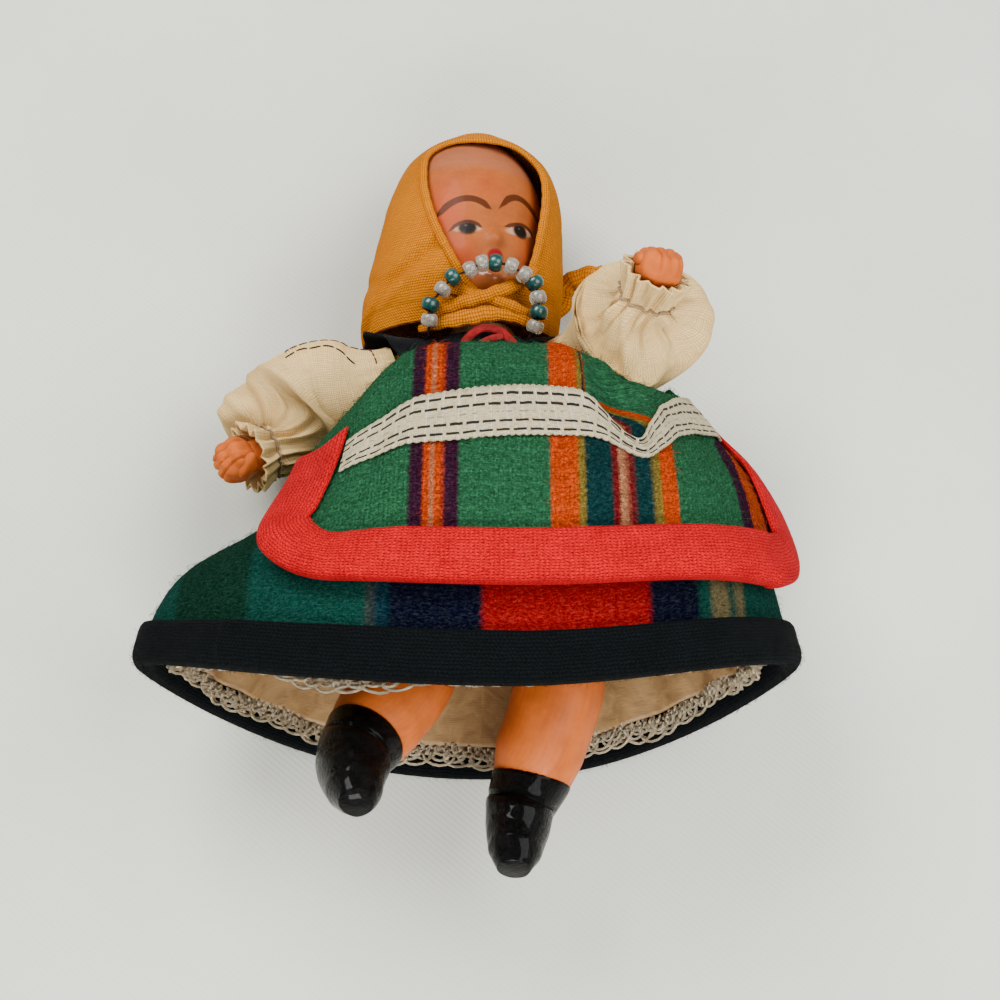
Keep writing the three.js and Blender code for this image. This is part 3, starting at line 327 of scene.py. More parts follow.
APRON = dict(left=-44.0, right=84.0, bottom=0.765, corner=20.0, left_drop=0.27, right_drop=0.14, top=0.24)


def apron_angle(degrees, t):
    """Both sides of the apron lean back towards its top, by 0.3 of the angle on the left and by 0.9
    of what passes 50 degrees on the right."""
    right = 0.9 * ease(t, 0.05, 0.16) * np.maximum(degrees - 50, 0)
    return np.radians(degrees + (1 - ease(t, 0.2, 0.64)) * (0.3 * np.minimum(degrees, 0) + right))


def apron_lift(degrees, t):
    """The apron's height over the skirt: 2.2 mm, its folds, and 1.4 mm more low down and at the sides."""
    side = np.minimum(degrees - APRON["left"], APRON["right"] - degrees)
    over = np.maximum(ease(t, 0.3, 0.58), (1 - ease(side, 18, 26)) * ease(t, 0.1, APRON["top"] - 0.02))
    return 2.2 + folds(APRON_FOLDS, degrees, t) + 1.4 * over


def apron_point(degrees, t, side, waves=0.0):
    """A point of the apron, side millimetres off the middle of its cloth."""
    return dress(apron_angle(degrees, t), t, apron_lift(degrees, t) + side, waves)


def apron_bottom(degrees, inset=0.0):
    """Share of the length where the apron ends: bottom - drop (1 - sqrt(1 - q^2)) in its corners."""
    near = np.minimum(degrees - APRON["left"] - inset, APRON["right"] - inset - degrees)
    q = np.clip(1 - near / APRON["corner"], 0, 1)
    drop = np.where(degrees < 0, APRON["left_drop"], APRON["right_drop"])
    return APRON["bottom"] - drop * (1 - np.sqrt(1 - q * q)) + 0.02 * ease(degrees, 30, 80)


def dress_scale(degrees, t):
    """Millimetres of the dress for one degree round it and for one unit of its length."""
    angle = apron_angle(degrees, t)
    e = 0.01
    around = sagged(cloth_middle(angle + e, t)) - sagged(cloth_middle(angle - e, t))
    down = sagged(cloth_middle(angle, t + e)) - sagged(cloth_middle(angle, t - e))
    around, down = (np.linalg.norm(way, axis=-1) / (2 * e) for way in (around, down))
    return np.radians(around), down


HEAD = [
    [26.6, -3.4, 3.4, 3.4, -3.4], [28.2, -4.3, 4.3, 4.3, -4.3], [29.6, -6.2, 5.4, 8, -6.4],
    [31.5, -9, 7, 9.2, -10], [35, -11.6, 9.4, 9.8, -13], [40, -13.3, 10.6, 9.9, -14.4],
    [46, -13.9, 10.9, 9.8, -14.8], [52, -13.1, 10.3, 8.8, -14], [57, -10.9, 8.1, 6.4, -11.6],
    [60.5, -7.4, 4.9, 2.8, -8], [62.4, -3.3, 1.2, -1, -4],
]
FACE_X = -1.3
FEATURES = [
    (38.6, 0, 1.3, 1.6, 1.3), (31.6, 0, 1.2, 1.7, 2.4), (35.6, 0, 0.5, 0.9, 1.9), (36.6, 5.2, 0.6, 2.6, 2.4),
    (36.6, -5.2, 0.6, 2.6, 2.4),
]
SCARF = [
    [24.8, -18, 14.6, 26.2, 1], [28.5, -18.4, 15.2, 27, 1], [33, -18.2, 15.5, 27.9, 1],
    [38, -16.9, 15.7, 28.6, 1], [44, -15.6, 15.7, 28.8, 1], [50, -14.2, 15.4, 28.2, 1.3],
    [56, -11.9, 13.6, 26, 2.8], [60.5, -8.6, 10.4, 22.6, 5.6], [64.2, -3.6, 5.6, 18, 9.6],
]
TORSO = [
    [-19.6, -2, 6, 23, 15.5], [-17, -6.5, 10.5, 26, 12.5], [-12, -8.6, 12.6, 27.6, 10.8],
    [-4, -8.6, 12.6, 27.2, 10.4], [4, -7.2, 11.2, 26, 10.2], [9, -6.9, 10.9, 25.6, 10],
    [15, -7.6, 11.6, 26, 9.8], [19, -7.8, 11.8, 25.6, 10], [22, -6, 10, 24.2, 10.4],
    [24.2, -3.4, 7.4, 22.2, 11.8], [26.2, -3.1, 7.1, 22.1, 11.9],
]


def stack(table, y, q, swell=0.0):
    """Ellipses round the doll: x = mid + (half + swell) sin q, z = mid + (half + swell) cos q."""
    y, q = np.broadcast_arrays(np.asarray(y, float), np.asarray(q, float))
    left, right, front, back = along(table, y)
    x = (left + right) / 2 + ((right - left) / 2 + swell) * np.sin(q)
    z = (front + back) / 2 + ((front - back) / 2 + swell) * np.cos(q)
    return np.stack([x, y, z], -1)


def on_head(p):
    """From the head's frame: turned 20 degrees about Y, then moved to the neck."""
    return turned(p, (0, 1, 0), 20) + np.array([BODY_X, 0, 17.0])


def face_grid(y, q):
    """The head's ellipses with a nose, a chin, lips and cheeks added as round rises in z."""
    p = stack(HEAD, y, q)
    for at, x, out, tall, wide in FEATURES:
        rise = out * np.exp(-(((p[..., 1] - at) / tall) ** 2) - ((p[..., 0] - FACE_X - x) / wide) ** 2)
        p[..., 2] += np.where(p[..., 2] > 0, rise, 0)
    return p


OPENING = [
    [3, 57.8], [7.4, 56.7], [11.6, 52.4], [12.4, 48.2], [11.4, 39.6], [9.8, 33.6], [6.6, 29.2], [3.4, 28.1],
    [0.4, 30], [-2.6, 35.6], [-5.3, 42.4], [-7, 49.8], [-6.4, 55.2], [-3, 57.6],
]
OPENING_AXIS = np.array([0, -0.309, 0.951])


def arcs(grid):
    """Distances along both directions of a grid, in millimetres, as its UV map."""
    a = np.linalg.norm(np.diff(grid, axis=0), axis=-1)
    b = np.linalg.norm(np.diff(grid, axis=1), axis=-1)
    rows = np.concatenate([np.zeros_like(a[:1]), np.cumsum(a, 0)])
    columns = np.concatenate([np.zeros_like(b[:, :1]), np.cumsum(b, 1)], 1)
    return rows, columns

# Meshes


def piece(name, parts, body, material, slot, replaces=()):
    """One mesh from grids (grid, uv, mark, keep): squares between neighbouring points, doubles
    welded, faces turned outwards by the sign of the volume. uv is in millimetres of the surface."""
    points, squares, maps, marks = [], [], [], []
    start = 0
    for part in parts:
        part = part if isinstance(part, (tuple, list)) else (part,)
        grid, uv, mark, keep = (list(part) + [None] * 3)[:4]
        rows, columns = grid.shape[:2]
        index = start + np.arange(rows * columns).reshape(rows, columns)
        quads = np.stack([index[:-1, :-1], index[1:, :-1], index[1:, 1:], index[:-1, 1:]], -1).reshape(-1, 4)
        flat = grid.reshape(-1, 3)
        corner = flat - flat.mean(0)
        a, b, c, d = (corner[quads[:, k] - start] for k in range(4))
        volume = (np.cross(a, b) * c).sum() + (np.cross(a, c) * d).sum()
        if keep is not None:
            quads = quads[keep.reshape(-1)]
        squares.append(quads[:, ::-1] if volume < 0 else quads)
        points.append(flat)
        maps.append(np.stack(np.broadcast_arrays(*(arcs(grid) if uv is None else uv)), -1).reshape(-1, 2))
        marks.append(np.broadcast_to(0.0 if mark is None else mark, grid.shape[:2]).reshape(-1))
        start += rows * columns
    points, squares = np.concatenate(points), np.concatenate(squares)
    maps, marks = np.concatenate(maps), np.concatenate(marks)
    mesh = bpy.data.meshes.new(name)
    mesh.from_pydata((points * MM).tolist(), [], squares.tolist())
    mesh.uv_layers.new(name="surface").data.foreach_set("uv", maps[squares.ravel()].ravel())
    mesh.attributes.new("mark", "FLOAT", "POINT").data.foreach_set("value", marks.astype(np.float32))
    work = bmesh.new()
    work.from_mesh(mesh)
    bmesh.ops.remove_doubles(work, verts=work.verts, dist=1e-6)
    work.to_mesh(mesh)
    work.free()
    mesh.polygons.foreach_set("use_smooth", np.ones(len(mesh.polygons), bool))
    mesh.materials.append(material)
    made = bpy.data.objects.new(name, mesh)
    bpy.context.scene.collection.objects.link(made)
    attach(made, body)
    if replaces:
        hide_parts(*replaces)
    return made


# Materials


def rgb(red, green, blue):
    """Linear colour of a screen colour from 0 to 255."""
    shares = [c / 255 for c in (red, green, blue)]
    return tuple(c / 12.92 if c <= 0.04045 else ((c + 0.055) / 1.055) ** 2.4 for c in shares) + (1.0,)


class Finish:
    """The nodes of one material; each call adds a node and returns its output."""

    def __init__(self, name, **values):
        self.material = bpy.data.materials.new(name)
        self.material.use_nodes = True
        self.tree = self.material.node_tree
        self.tree.nodes.clear()
        out = self.tree.nodes.new("ShaderNodeOutputMaterial")
        self.surface = self.tree.nodes.new("ShaderNodeBsdfPrincipled")
        self.tree.links.new(self.surface.outputs[0], out.inputs[0])
        for key, value in values.items():
            self.surface.inputs[key.replace("_", " ").title().replace("Ior", "IOR")].default_value = value

    def put(self, socket, value):
        """A socket linked to an output, or set to a value."""
        if isinstance(value, bpy.types.NodeSocket):
            self.tree.links.new(value, socket)
        else:
            socket.default_value = value

    def set(self, name, value):
        self.put(self.surface.inputs[name], value)

    def node(self, kind, inputs=(), **settings):
        made = self.tree.nodes.new(kind)
        for key, value in settings.items():
            setattr(made, key, value)
        for key, value in dict(inputs).items():
            self.put(made.inputs[key], value)
        return made

    def math(self, operation, a, b=0.0, c=0.0):
        return self.node("ShaderNodeMath", {0: a, 1: b, 2: c}, operation=operation).outputs[0]

    def uv(self):
        """Millimetres along the first and second parameter of the piece."""
        source = self.node("ShaderNodeUVMap", uv_map="surface").outputs[0]
        parts = self.node("ShaderNodeSeparateXYZ", {0: source})
        return parts.outputs[0], parts.outputs[1]

    def mark(self):
        """The third value of the piece's points."""
        return self.node("ShaderNodeAttribute", attribute_name="mark").outputs["Fac"]

    def place(self):
        """Object coordinates in millimetres."""
        source = self.node("ShaderNodeTexCoord").outputs["Object"]
        return self.node(
            "ShaderNodeVectorMath", {0: source, 1: (1000, 1000, 1000)}, operation="MULTIPLY"
        ).outputs[0]

    def vector(self, x, y, z=0.0):
        return self.node("ShaderNodeCombineXYZ", {0: x, 1: y, 2: z}).outputs[0]

    def noise(self, vector, scale, detail=3.0, rough=0.5, distortion=0.0):
        inputs = {
            "Vector": vector, "Scale": scale, "Detail": detail, "Roughness": rough, "Distortion": distortion
        }
        return self.node("ShaderNodeTexNoise", inputs).outputs["Fac"]

    def cells(self, vector, scale):
        return self.node("ShaderNodeTexVoronoi", {"Vector": vector, "Scale": scale}).outputs["Distance"]

    def ramp(self, value, stops):
        """Colours by value, from (place, colour) stops."""
        made = self.node("ShaderNodeValToRGB", {0: value})
        elements = made.color_ramp.elements
        while len(elements) < len(stops):
            elements.new(0.5)
        for element, (at, colour) in zip(elements, stops):
            element.position = at
            element.color = colour
        return made.outputs[0]

    def level(self, value, a, b, low=0.0, high=1.0):
        """Value from a to b carried to low to high, kept inside."""
        inputs = {"Value": value, "From Min": a, "From Max": b, "To Min": low, "To Max": high}
        return self.node("ShaderNodeMapRange", inputs).outputs[0]

    def mix(self, share, a, b, mode="MIX"):
        made = self.node("ShaderNodeMix", data_type="RGBA", blend_type=mode)
        for key, value in ((0, share), (6, a), (7, b)):
            self.put(made.inputs[key], value)
        return made.outputs[2]

    def times(self, colour, factor):
        """Colour multiplied by a grey factor."""
        grey = self.node("ShaderNodeCombineColor", {0: factor, 1: factor, 2: factor}).outputs[0]
        return self.mix(1.0, colour, grey, "MULTIPLY")

    def bumped(self, height, distance, strength=1.0):
        """Relief on the surface: distance is its depth in metres where height is 1."""
        inputs = {"Height": height, "Distance": distance, "Strength": strength}
        self.set("Normal", self.node("ShaderNodeBump", inputs).outputs[0])

    def wave(self, value, pitch):
        """0.5 + 0.5 sin of value at that pitch."""
        turn = self.math("MULTIPLY", value, 2 * math.pi / pitch)
        return self.math("MULTIPLY_ADD", self.math("SINE", turn), 0.5, 0.5)


def plain_weave(finish, u, v, pitch):
    """Height of a plain weave: warp and weft crowns taking turns, each a product of sines."""
    a = finish.math("SINE", finish.math("MULTIPLY", u, math.pi / pitch))
    b = finish.math("SINE", finish.math("MULTIPLY", v, math.pi / pitch))
    over = finish.math("MULTIPLY", a, b)
    return finish.math("MULTIPLY_ADD", finish.math("POWER", finish.math("ABSOLUTE", over), 0.6), 0.9, 0.1)


def cotton(name, colour, shade, pitch=0.36, wear=0.25, warm=(0.8, 0.55, 0.3, 1), depth=0.9, crown=False):
    """Plain-woven cotton: yarn crowns, darker gaps, slubs along both yarns, soiled patches. With a crown,
    the weave goes over to one laid flat across x and z where mark is 1."""
    f = Finish(name, roughness=0.95, specular_ior_level=0.06)
    u, v = f.uv()
    wobble = f.noise(f.vector(u, v), 0.9, 2)
    across = f.math("MULTIPLY_ADD", wobble, 0.5, u)
    down = f.math("MULTIPLY_ADD", wobble, -0.4, v)
    weave = plain_weave(f, across, down, pitch)
    slub = f.noise(f.vector(f.math("MULTIPLY", u, 3.0), f.math("MULTIPLY", v, 0.25)), 1.2, 3)
    other_slub = f.noise(f.vector(f.math("MULTIPLY", u, 0.25), f.math("MULTIPLY", v, 3.0)), 1.2, 3)
    yarn = f.math("ADD", slub, other_slub)
    if crown:
        x, _, z = f.node("ShaderNodeSeparateXYZ", {0: f.place()}).outputs
        laid = plain_weave(f, x, z, pitch)
        weave = f.math("MULTIPLY_ADD", f.mark(), f.math("SUBTRACT", laid, weave), weave)
        yarn = f.math("MULTIPLY_ADD", f.mark(), f.math("SUBTRACT", 1.0, yarn), yarn)
    tone = f.level(yarn, 0.75, 1.25, 0.84, 1.1)
    patch = f.level(f.noise(f.place(), 0.16, 4), 0.42, 0.68)
    base = f.mix(f.math("MULTIPLY", patch, wear), colour, f.mix(0.5, colour, warm, "MULTIPLY"))
    base = f.times(base, tone)
    # Painted shade: the gaps of the weave mixed towards the shade colour
    base = f.mix(f.level(weave, 0.1, 0.8, depth, 0), base, shade)
    f.set("Base Color", base)
    f.bumped(f.math("ADD", weave, f.math("MULTIPLY", yarn, 0.35)), 0.00018 * depth, 0.9)
    return f.material


RAMP_STOPS = 30


def wool(name, stripes, width, soft=0.35, rib=0.0, fleck=0.3, knit=0.0):
    """Brushed wool in stripes across u, from (start in millimetres, colour) rows: edges wander by the
    yarns' noise, flecks are long noise down v, and the nap is fine noise in both."""
    f = Finish(name, roughness=1.0, specular_ior_level=0.02)
    u, v = f.uv()
    edge = f.noise(f.vector(f.math("MULTIPLY", u, 1.6), f.math("MULTIPLY", v, 0.9)), 1.6, 3, 0.6)
    moved = f.math("MULTIPLY_ADD", f.math("SUBTRACT", edge, 0.5), soft * 4, u)
    low_end, high_end = stripes[0][0], stripes[0][0] + width
    stops = []
    for k, (at, colour) in enumerate(stripes):
        stop_at = (at - low_end) / width
        if k:
            stops.append((stop_at - soft * 0.35 / width, stripes[k - 1][1]))
        stops.append((max(stop_at + soft * 0.35 / width, 0), colour))
    groups = [stops[i : i + RAMP_STOPS] for i in range(0, len(stops), RAMP_STOPS - 2)]
    share = f.level(moved, low_end, high_end)
    base = f.ramp(share, groups[0])
    for group in groups[1:]:
        past = f.math("GREATER_THAN", share, (groups[0][-1][0] + group[0][0]) / 2)
        base = f.mix(past, base, f.ramp(share, group))
    flecks = f.noise(f.vector(f.math("MULTIPLY", u, 3.4), f.math("MULTIPLY", v, 1.3)), 1.0, 3, 0.65)
    nap = f.noise(f.place(), 2.6, 4, 0.7)
    rows = f.wave(f.math("MULTIPLY_ADD", flecks, 0.5, v), 1.9)
    base = f.times(base, f.level(flecks, 0.3, 0.7, 1 - fleck, 1 + fleck))
    base = f.times(base, f.level(nap, 0.32, 0.7, 0.6, 1.15))
    # Painted shade between the ribs, lighter on their crowns
    if rib:
        base = f.times(base, f.level(rows, 0, 1, 1 - rib, 1 + rib * 0.5))
    columns = f.wave(f.math("MULTIPLY_ADD", nap, 1.1, u), 0.68)
    stitch = f.math("MULTIPLY", columns, f.wave(f.math("MULTIPLY_ADD", flecks, 1.8, v), 0.95))
    # Painted shade between the knitted stitches, lighter on their crowns
    if knit:
        base = f.times(base, f.level(stitch, 0, 0.6, 1 - knit, 1 + knit * 0.4))
    lint = f.noise(f.vector(f.math("MULTIPLY", u, 1.3), f.math("MULTIPLY", v, 3.4)), 1.0, 5, 0.75, 0.6)
    base = f.times(base, f.level(lint, 0.36, 0.7, 0.6, 1.75))
    grey = f.mix(f.level(lint, 0.46, 0.78, 0, 0.035), base, rgb(200, 214, 196))
    f.set("Base Color", grey)
    height = f.math("MULTIPLY_ADD", flecks, 0.8, nap)
    if rib:
        height = f.math("MULTIPLY_ADD", rows, 0.5, height)
    if knit:
        height = f.math("MULTIPLY_ADD", stitch, 0.8, height)
    f.bumped(height, 0.0004, 0.9)
    return f.material


def knitted(name, colour, shade, pitch=0.95, stitch=0.7, sheen=0.1, gloss=0.75, relief=0.00028):
    """Flat braid knitted in rows along u: each row across v is a chain of slanting stitches, the
    slant turning from row to row."""
    f = Finish(name, roughness=gloss, sheen_weight=sheen * 0.1, specular_ior_level=0.06)
    u, v = f.uv()
    wander = f.noise(f.vector(u, v), 0.5, 2)
    down = f.math("MULTIPLY_ADD", wander, 0.7, v)
    row = f.math("FRACT", f.math("DIVIDE", down, pitch))
    slant = f.math("ABSOLUTE", f.math("SUBTRACT", row, 0.5))
    chain = f.wave(
        f.math("MULTIPLY_ADD", slant, stitch * 1.5, f.math("MULTIPLY_ADD", wander, 0.8, u)), stitch
    )
    valley = f.math("POWER", f.math("SINE", f.math("MULTIPLY", row, math.pi)), 0.5)
    height = f.math("MULTIPLY", f.math("MULTIPLY_ADD", chain, 0.6, 0.4), valley)
    lint = f.noise(f.place(), 3.5, 4, 0.7)
    tone = f.noise(f.place(), 0.25, 3)
    # Painted shade: the hollows between the stitches mixed towards the shade colour
    base = f.mix(f.level(height, 0.15, 0.7), shade, colour)
    base = f.times(base, f.level(tone, 0.3, 0.7, 0.85, 1.12))
    base = f.times(base, f.level(lint, 0.3, 0.75, 0.5, 1.7))
    f.set("Base Color", base)
    f.bumped(f.math("MULTIPLY_ADD", lint, 0.5, height), relief, 0.9)
    return f.material


def painted(name, colour, deep, gloss=0.35, coat=0.25):
    """Painted composition: uneven brushed colour, darker hollows, pinholes and a thin varnish."""
    f = Finish(
        name, roughness=gloss, coat_weight=coat, coat_roughness=0.2, specular_ior_level=0.25,
        subsurface_weight=0.05, subsurface_scale=0.002,
    )
    spot = f.place()
    tone = f.noise(spot, 0.22, 4)
    brush = f.noise(spot, 1.4, 4, 0.6)
    base = f.mix(f.level(tone, 0.35, 0.68), colour, deep)
    base = f.times(base, f.level(brush, 0.3, 0.7, 0.94, 1.05))
    pores = f.level(f.noise(spot, 5.0, 2), 0.66, 0.74)
    base = f.times(base, f.level(pores, 0, 1, 1, 0.82))
    f.set("Base Color", base)
    f.set("Roughness", f.level(brush, 0.3, 0.7, gloss - 0.08, gloss + 0.14))
    f.bumped(f.math("MULTIPLY_ADD", tone, 0.6, brush), 0.0001, 0.5)
    return f.material

# Necklace: beads on a thread, the thread a closed loop whose ends are tied behind the neck

BEADS = [
    ("clear", -6.3, 23.7, 28.2), ("green", -6.2, 26.2, 28.6), ("clear", -4.2, 28.5, 29.4),
    ("green", -2.6, 30.4, 29.9), ("clear", 0.2, 31.6, 30.2), ("clear", 2.2, 32.7, 30.4),
    ("green", 4.3, 32.7, 30.5), ("clear", 6.8, 32.2, 30.2), ("clear", 8.9, 31, 29.6),
    ("green", 10.6, 29.8, 29), ("clear", 11.1, 27.5, 28.4), ("green", 11.2, 25.1, 28),
    ("clear", 10.6, 22.8, 27.6),
]
NECKLACE_BACK = [
    (9.6, 21.4, 26.2), (9.8, 22.6, 22.4), (9.4, 24.8, 19), (8.6, 25.2, 14), (2, 25.2, 9.9),
    (-4.6, 25.2, 14), (-6.2, 24.6, 19.4), (-7, 22.8, 22.6), (-6.6, 22, 26.4),
]
NECKLACE = np.array([bead[1:] for bead in BEADS] + NECKLACE_BACK, float)


def thread_finish(name, colour, gloss=0.7):
    """Twisted thread: slanting plies along its length, painted darker between them as shade."""
    f = Finish(name, roughness=gloss, specular_ior_level=0.3)
    u, v = f.uv()
    ply = f.wave(f.math("ADD", u, v), 0.45)
    # Painted shade: the colour darkened in the gaps between the plies
    f.set("Base Color", f.mix(ply, colour, f.mix(0.7, colour, (0.02, 0.01, 0.01, 1))))
    f.bumped(ply, 0.00006)
    return f.material


THREAD_RADIUS = 0.2
LOOP_POINTS = 361
KNOT_POINT = 17
thread_red = thread_finish("dark_red_thread", rgb(40, 8, 10))
loop = spline(NECKLACE, np.linspace(0, 1, LOOP_POINTS), True)
knot_at = KNOT_POINT * LOOP_POINTS // len(NECKLACE)
loop = np.roll(loop[:-1], -knot_at, 0)[3:-3]
thread = piece(
    "necklace_strand", [capped(tube_grid(loop, THREAD_RADIUS, 8))], "head", thread_red, "thread",
    ["necklace_thread"],
)


def bead_grid(place, ahead, radius, bore, half, dent):
    """Ring of glass turned to the thread: height = half sin q and r = bore + (radius - bore) (1 + c) / 2,
    c being cos q to the power 1.15 with its sign kept."""
    q = np.linspace(-np.pi, np.pi, 29)[:, None]
    turn = np.linspace(0, 2 * np.pi, 33)[None, :]
    round_off = np.sign(np.cos(q)) * np.abs(np.cos(q)) ** 1.15
    uneven = 1 + dent * np.cos(turn + 1) + 0.4 * dent * np.cos(3 * turn)
    r = bore + (radius - bore) * 0.5 * (1 + round_off) * uneven
    h = half * np.sin(q) * (1 + 0.6 * dent * np.cos(turn))
    side = unit(np.cross(ahead, [0.2, 0.3, 0.9]))
    other = np.cross(ahead, side)
    spoke = side * np.cos(turn)[..., None] + other * np.sin(turn)[..., None]
    return place + r[..., None] * spoke + h[..., None] * ahead


def green_glass():
    """Opaque teal glass: cloudy swirls of lighter and darker glass under a glossy skin."""
    f = Finish(
        "green_glass", roughness=0.3, ior=1.5, coat_weight=0.1, coat_roughness=0.12, subsurface_weight=0.15,
        subsurface_scale=0.001,
    )
    cloud = f.noise(f.place(), 1.1, 3, 0.6, 1.2)
    base = f.ramp(cloud, [(0.3, rgb(1, 34, 36)), (0.5, rgb(3, 56, 52)), (0.7, rgb(24, 90, 82))])
    f.set("Base Color", base)
    f.bumped(f.noise(f.place(), 0.9, 2), 0.00003, 0.4)
    return f.material


def clear_glass():
    """Clear glass, a little hazy, its skin dulled by wear."""
    f = Finish("clear_glass", transmission_weight=0.62, roughness=0.25, ior=1.4, coat_weight=0.3)
    haze = f.noise(f.place(), 1.6, 3)
    f.set("Base Color", f.mix(f.level(haze, 0.35, 0.7), rgb(190, 183, 170), rgb(156, 148, 136)))
    f.set("Roughness", f.level(haze, 0.3, 0.8, 0.14, 0.34))
    f.bumped(haze, 0.00002, 0.4)
    return f.material


BEAD_RADIUS = {"green": 1.5, "clear": 1.42}
BEAD_BORE, BEAD_HALF = 0.45, 1.02
glass = {"green": green_glass(), "clear": clear_glass()}
strung = {"green": 0, "clear": 0}
rng = np.random.default_rng(SEED)
for k, (kind, x, y, z) in enumerate(BEADS):
    strung[kind] += 1
    at = k / len(NECKLACE)
    before, after = spline(NECKLACE, np.array([at - 1e-3, at + 1e-3]), True)
    dent = rng.uniform(-0.05, 0.05)
    grid = bead_grid(np.array([x, y, z]), unit(after - before), BEAD_RADIUS[kind], BEAD_BORE, BEAD_HALF, dent)
    node = f"{kind}_bead_{strung[kind]}"
    piece(f"{kind}_glass_bead_{strung[kind]}", [grid], "head", glass[kind], f"{kind}_glass", [node])

# Head


def face_finish():
    """Painted face: u and v are x and y of the head's own frame. Each stroke is a distance to a curve
    or an oval."""
    f = Finish(
        "painted_face", roughness=0.5, coat_roughness=0.1, specular_ior_level=0.12, subsurface_weight=0.06,
        subsurface_scale=0.002,
    )
    x, y = f.uv()
    spot = f.place()
    tone = f.noise(spot, 0.24, 4)
    brush = f.noise(spot, 1.3, 4, 0.6)
    base = f.mix(f.level(tone, 0.35, 0.68), rgb(152, 80, 34), rgb(138, 70, 28))

    def oval(cx, cy, wide, tall, inner=0.8, outer=1.15, lean=0.0):
        """1 inside an oval, fading to 0 between its inner and outer share."""
        dx = f.math("SUBTRACT", x, cx)
        dy = f.math("MULTIPLY_ADD", dx, -lean, f.math("SUBTRACT", y, cy))
        a = f.math("POWER", f.math("ABSOLUTE", f.math("DIVIDE", dx, wide)), 2)
        b = f.math("POWER", f.math("ABSOLUTE", f.math("DIVIDE", dy, tall)), 2)
        return f.level(f.math("SQRT", f.math("ADD", a, b)), inner, outer, 1.0, 0.0)

    def stroke(points, thick, soft=0.12):
        """1 within half the thickness of a curve y = a + b s + c s^2 + d s^3 through four points,
        s from 0 to 1 across x, thinning at both ends."""
        xs, ys = np.array([p[0] for p in points]), np.array([p[1] for p in points])
        s = (xs - xs[0]) / (xs[-1] - xs[0])
        d, c, b, a = np.polyfit(s, ys, 3)
        t = f.math("DIVIDE", f.math("SUBTRACT", x, xs[0]), xs[-1] - xs[0])
        curve = f.math("MULTIPLY_ADD", f.math("MULTIPLY_ADD", f.math("MULTIPLY_ADD", t, d, c), t, b), t, a)
        slope = f.math("MULTIPLY_ADD", f.math("MULTIPLY_ADD", t, 3 * d, 2 * c), t, b)
        slope = f.math("DIVIDE", slope, xs[-1] - xs[0])
        steep = f.math("SQRT", f.math("MULTIPLY_ADD", slope, slope, 1.0))
        off = f.math("DIVIDE", f.math("ABSOLUTE", f.math("SUBTRACT", y, curve)), steep)
        ends = f.math("MULTIPLY", f.level(t, -0.02, 0.14), f.level(t, 0.9, 1.02, 1.0, 0.0))
        half = f.math("MULTIPLY", ends, thick / 2)
        return f.level(f.math("SUBTRACT", off, half), -soft, soft * 0.4, 1.0, 0.0)

    def paint(base, share, colour, strength=1.0):
        return f.mix(f.math("MULTIPLY", share, strength), base, colour)

    blush = rgb(166, 48, 10)
    blushed = [
        (-9.5, 43, 3.2, 6, 0.55), (9.6, 45, 3.2, 7, 0.75), (-7.2, 35, 3.4, 3, 0.55),
        (6.6, 37.5, 3.2, 3.4, 0.5), (-3, 48.5, 5, 2.6, 0.22),
    ]
    for cx, cy, wide, tall, amount in blushed:
        base = paint(base, oval(cx, cy, wide, tall, 0.2, 1.5), blush, amount)
    # Painted highlight: a lighter oval on the chin where the light catches it
    base = paint(base, oval(0.2, 31.4, 3.4, 1.8, 0.3, 1.3), rgb(196, 104, 44), 0.5)
    hairline = f.noise(f.vector(f.math("MULTIPLY", x, 0.25), f.math("MULTIPLY", y, 2.2)), 1.0, 3)
    band = f.math("MULTIPLY", f.level(y, 51.6, 53.2), f.level(hairline, 0.3, 0.6, 0.55, 1.0))
    base = paint(base, band, rgb(142, 84, 58), 0.85)
    streak = f.noise(f.vector(f.math("MULTIPLY", x, 0.22), f.math("MULTIPLY", y, 2.6)), 1.1, 4, 0.6)
    base = f.times(base, f.level(streak, 0.3, 0.7, 0.95, 1.04))
    base = f.times(base, f.level(brush, 0.3, 0.7, 0.95, 1.05))
    white, slate, brown = rgb(168, 138, 112), rgb(20, 12, 8), rgb(64, 26, 4)
    eyes = [(-5.7, 40.35, -5.75, 40.5, 2.15, 0.02), (3.4, 41.25, 3.55, 41.45, 2.7, 0.2)]
    for cx, cy, iris_x, iris_y, wide, lean in eyes:
        eye = oval(cx, cy, wide, 0.78, 0.8, 1.15, lean)
        base = paint(base, eye, white, 0.85)
        base = paint(base, oval(iris_x, iris_y - 0.1, 1.5, 1.3, 0.8, 1.15), rgb(40, 27, 17))
        base = paint(base, oval(iris_x, iris_y + 0.1, 1.2, 1.05, 0.75, 1.15), slate)
        # Painted reflection: a small grey glint in each pupil
        base = paint(base, oval(iris_x - 0.3, iris_y + 0.35, 0.24, 0.2, 0.6, 1.1), rgb(90, 84, 78), 0.4)
    lids = [
        [(-8.6, 39.9), (-7.4, 41.0), (-5.6, 41.55), (-3.4, 40.5)],
        [(0.3, 41.35), (2.0, 42.1), (4.4, 42.75), (6.7, 41.6)],
    ]
    for line in lids:
        base = paint(base, stroke(line, 0.74), rgb(58, 28, 14), 0.92)
    brows = [
        [(-10.6, 42.6), (-8.4, 44.9), (-5.4, 45.8), (-1.9, 44.1)],
        [(-0.6, 44.4), (1.4, 46.8), (4.6, 47.4), (9.6, 44.4)],
    ]
    for line in brows:
        base = paint(base, stroke(line, 1.25), brown, 0.94)
    base = paint(base, oval(-1.3, 35.7, 1.4, 1.25, 0.8, 1.1), rgb(124, 3, 10))
    f.set("Base Color", base)
    f.set("Roughness", f.math("MULTIPLY_ADD", f.level(y, 31, 34), 0.22, f.level(brush, 0.3, 0.7, 0.26, 0.4)))
    f.set("Coat Weight", f.level(y, 32, 35, 0.7, 0.03))
    f.bumped(f.math("MULTIPLY_ADD", tone, 0.6, brush), 0.00011, 0.6)
    return f.material


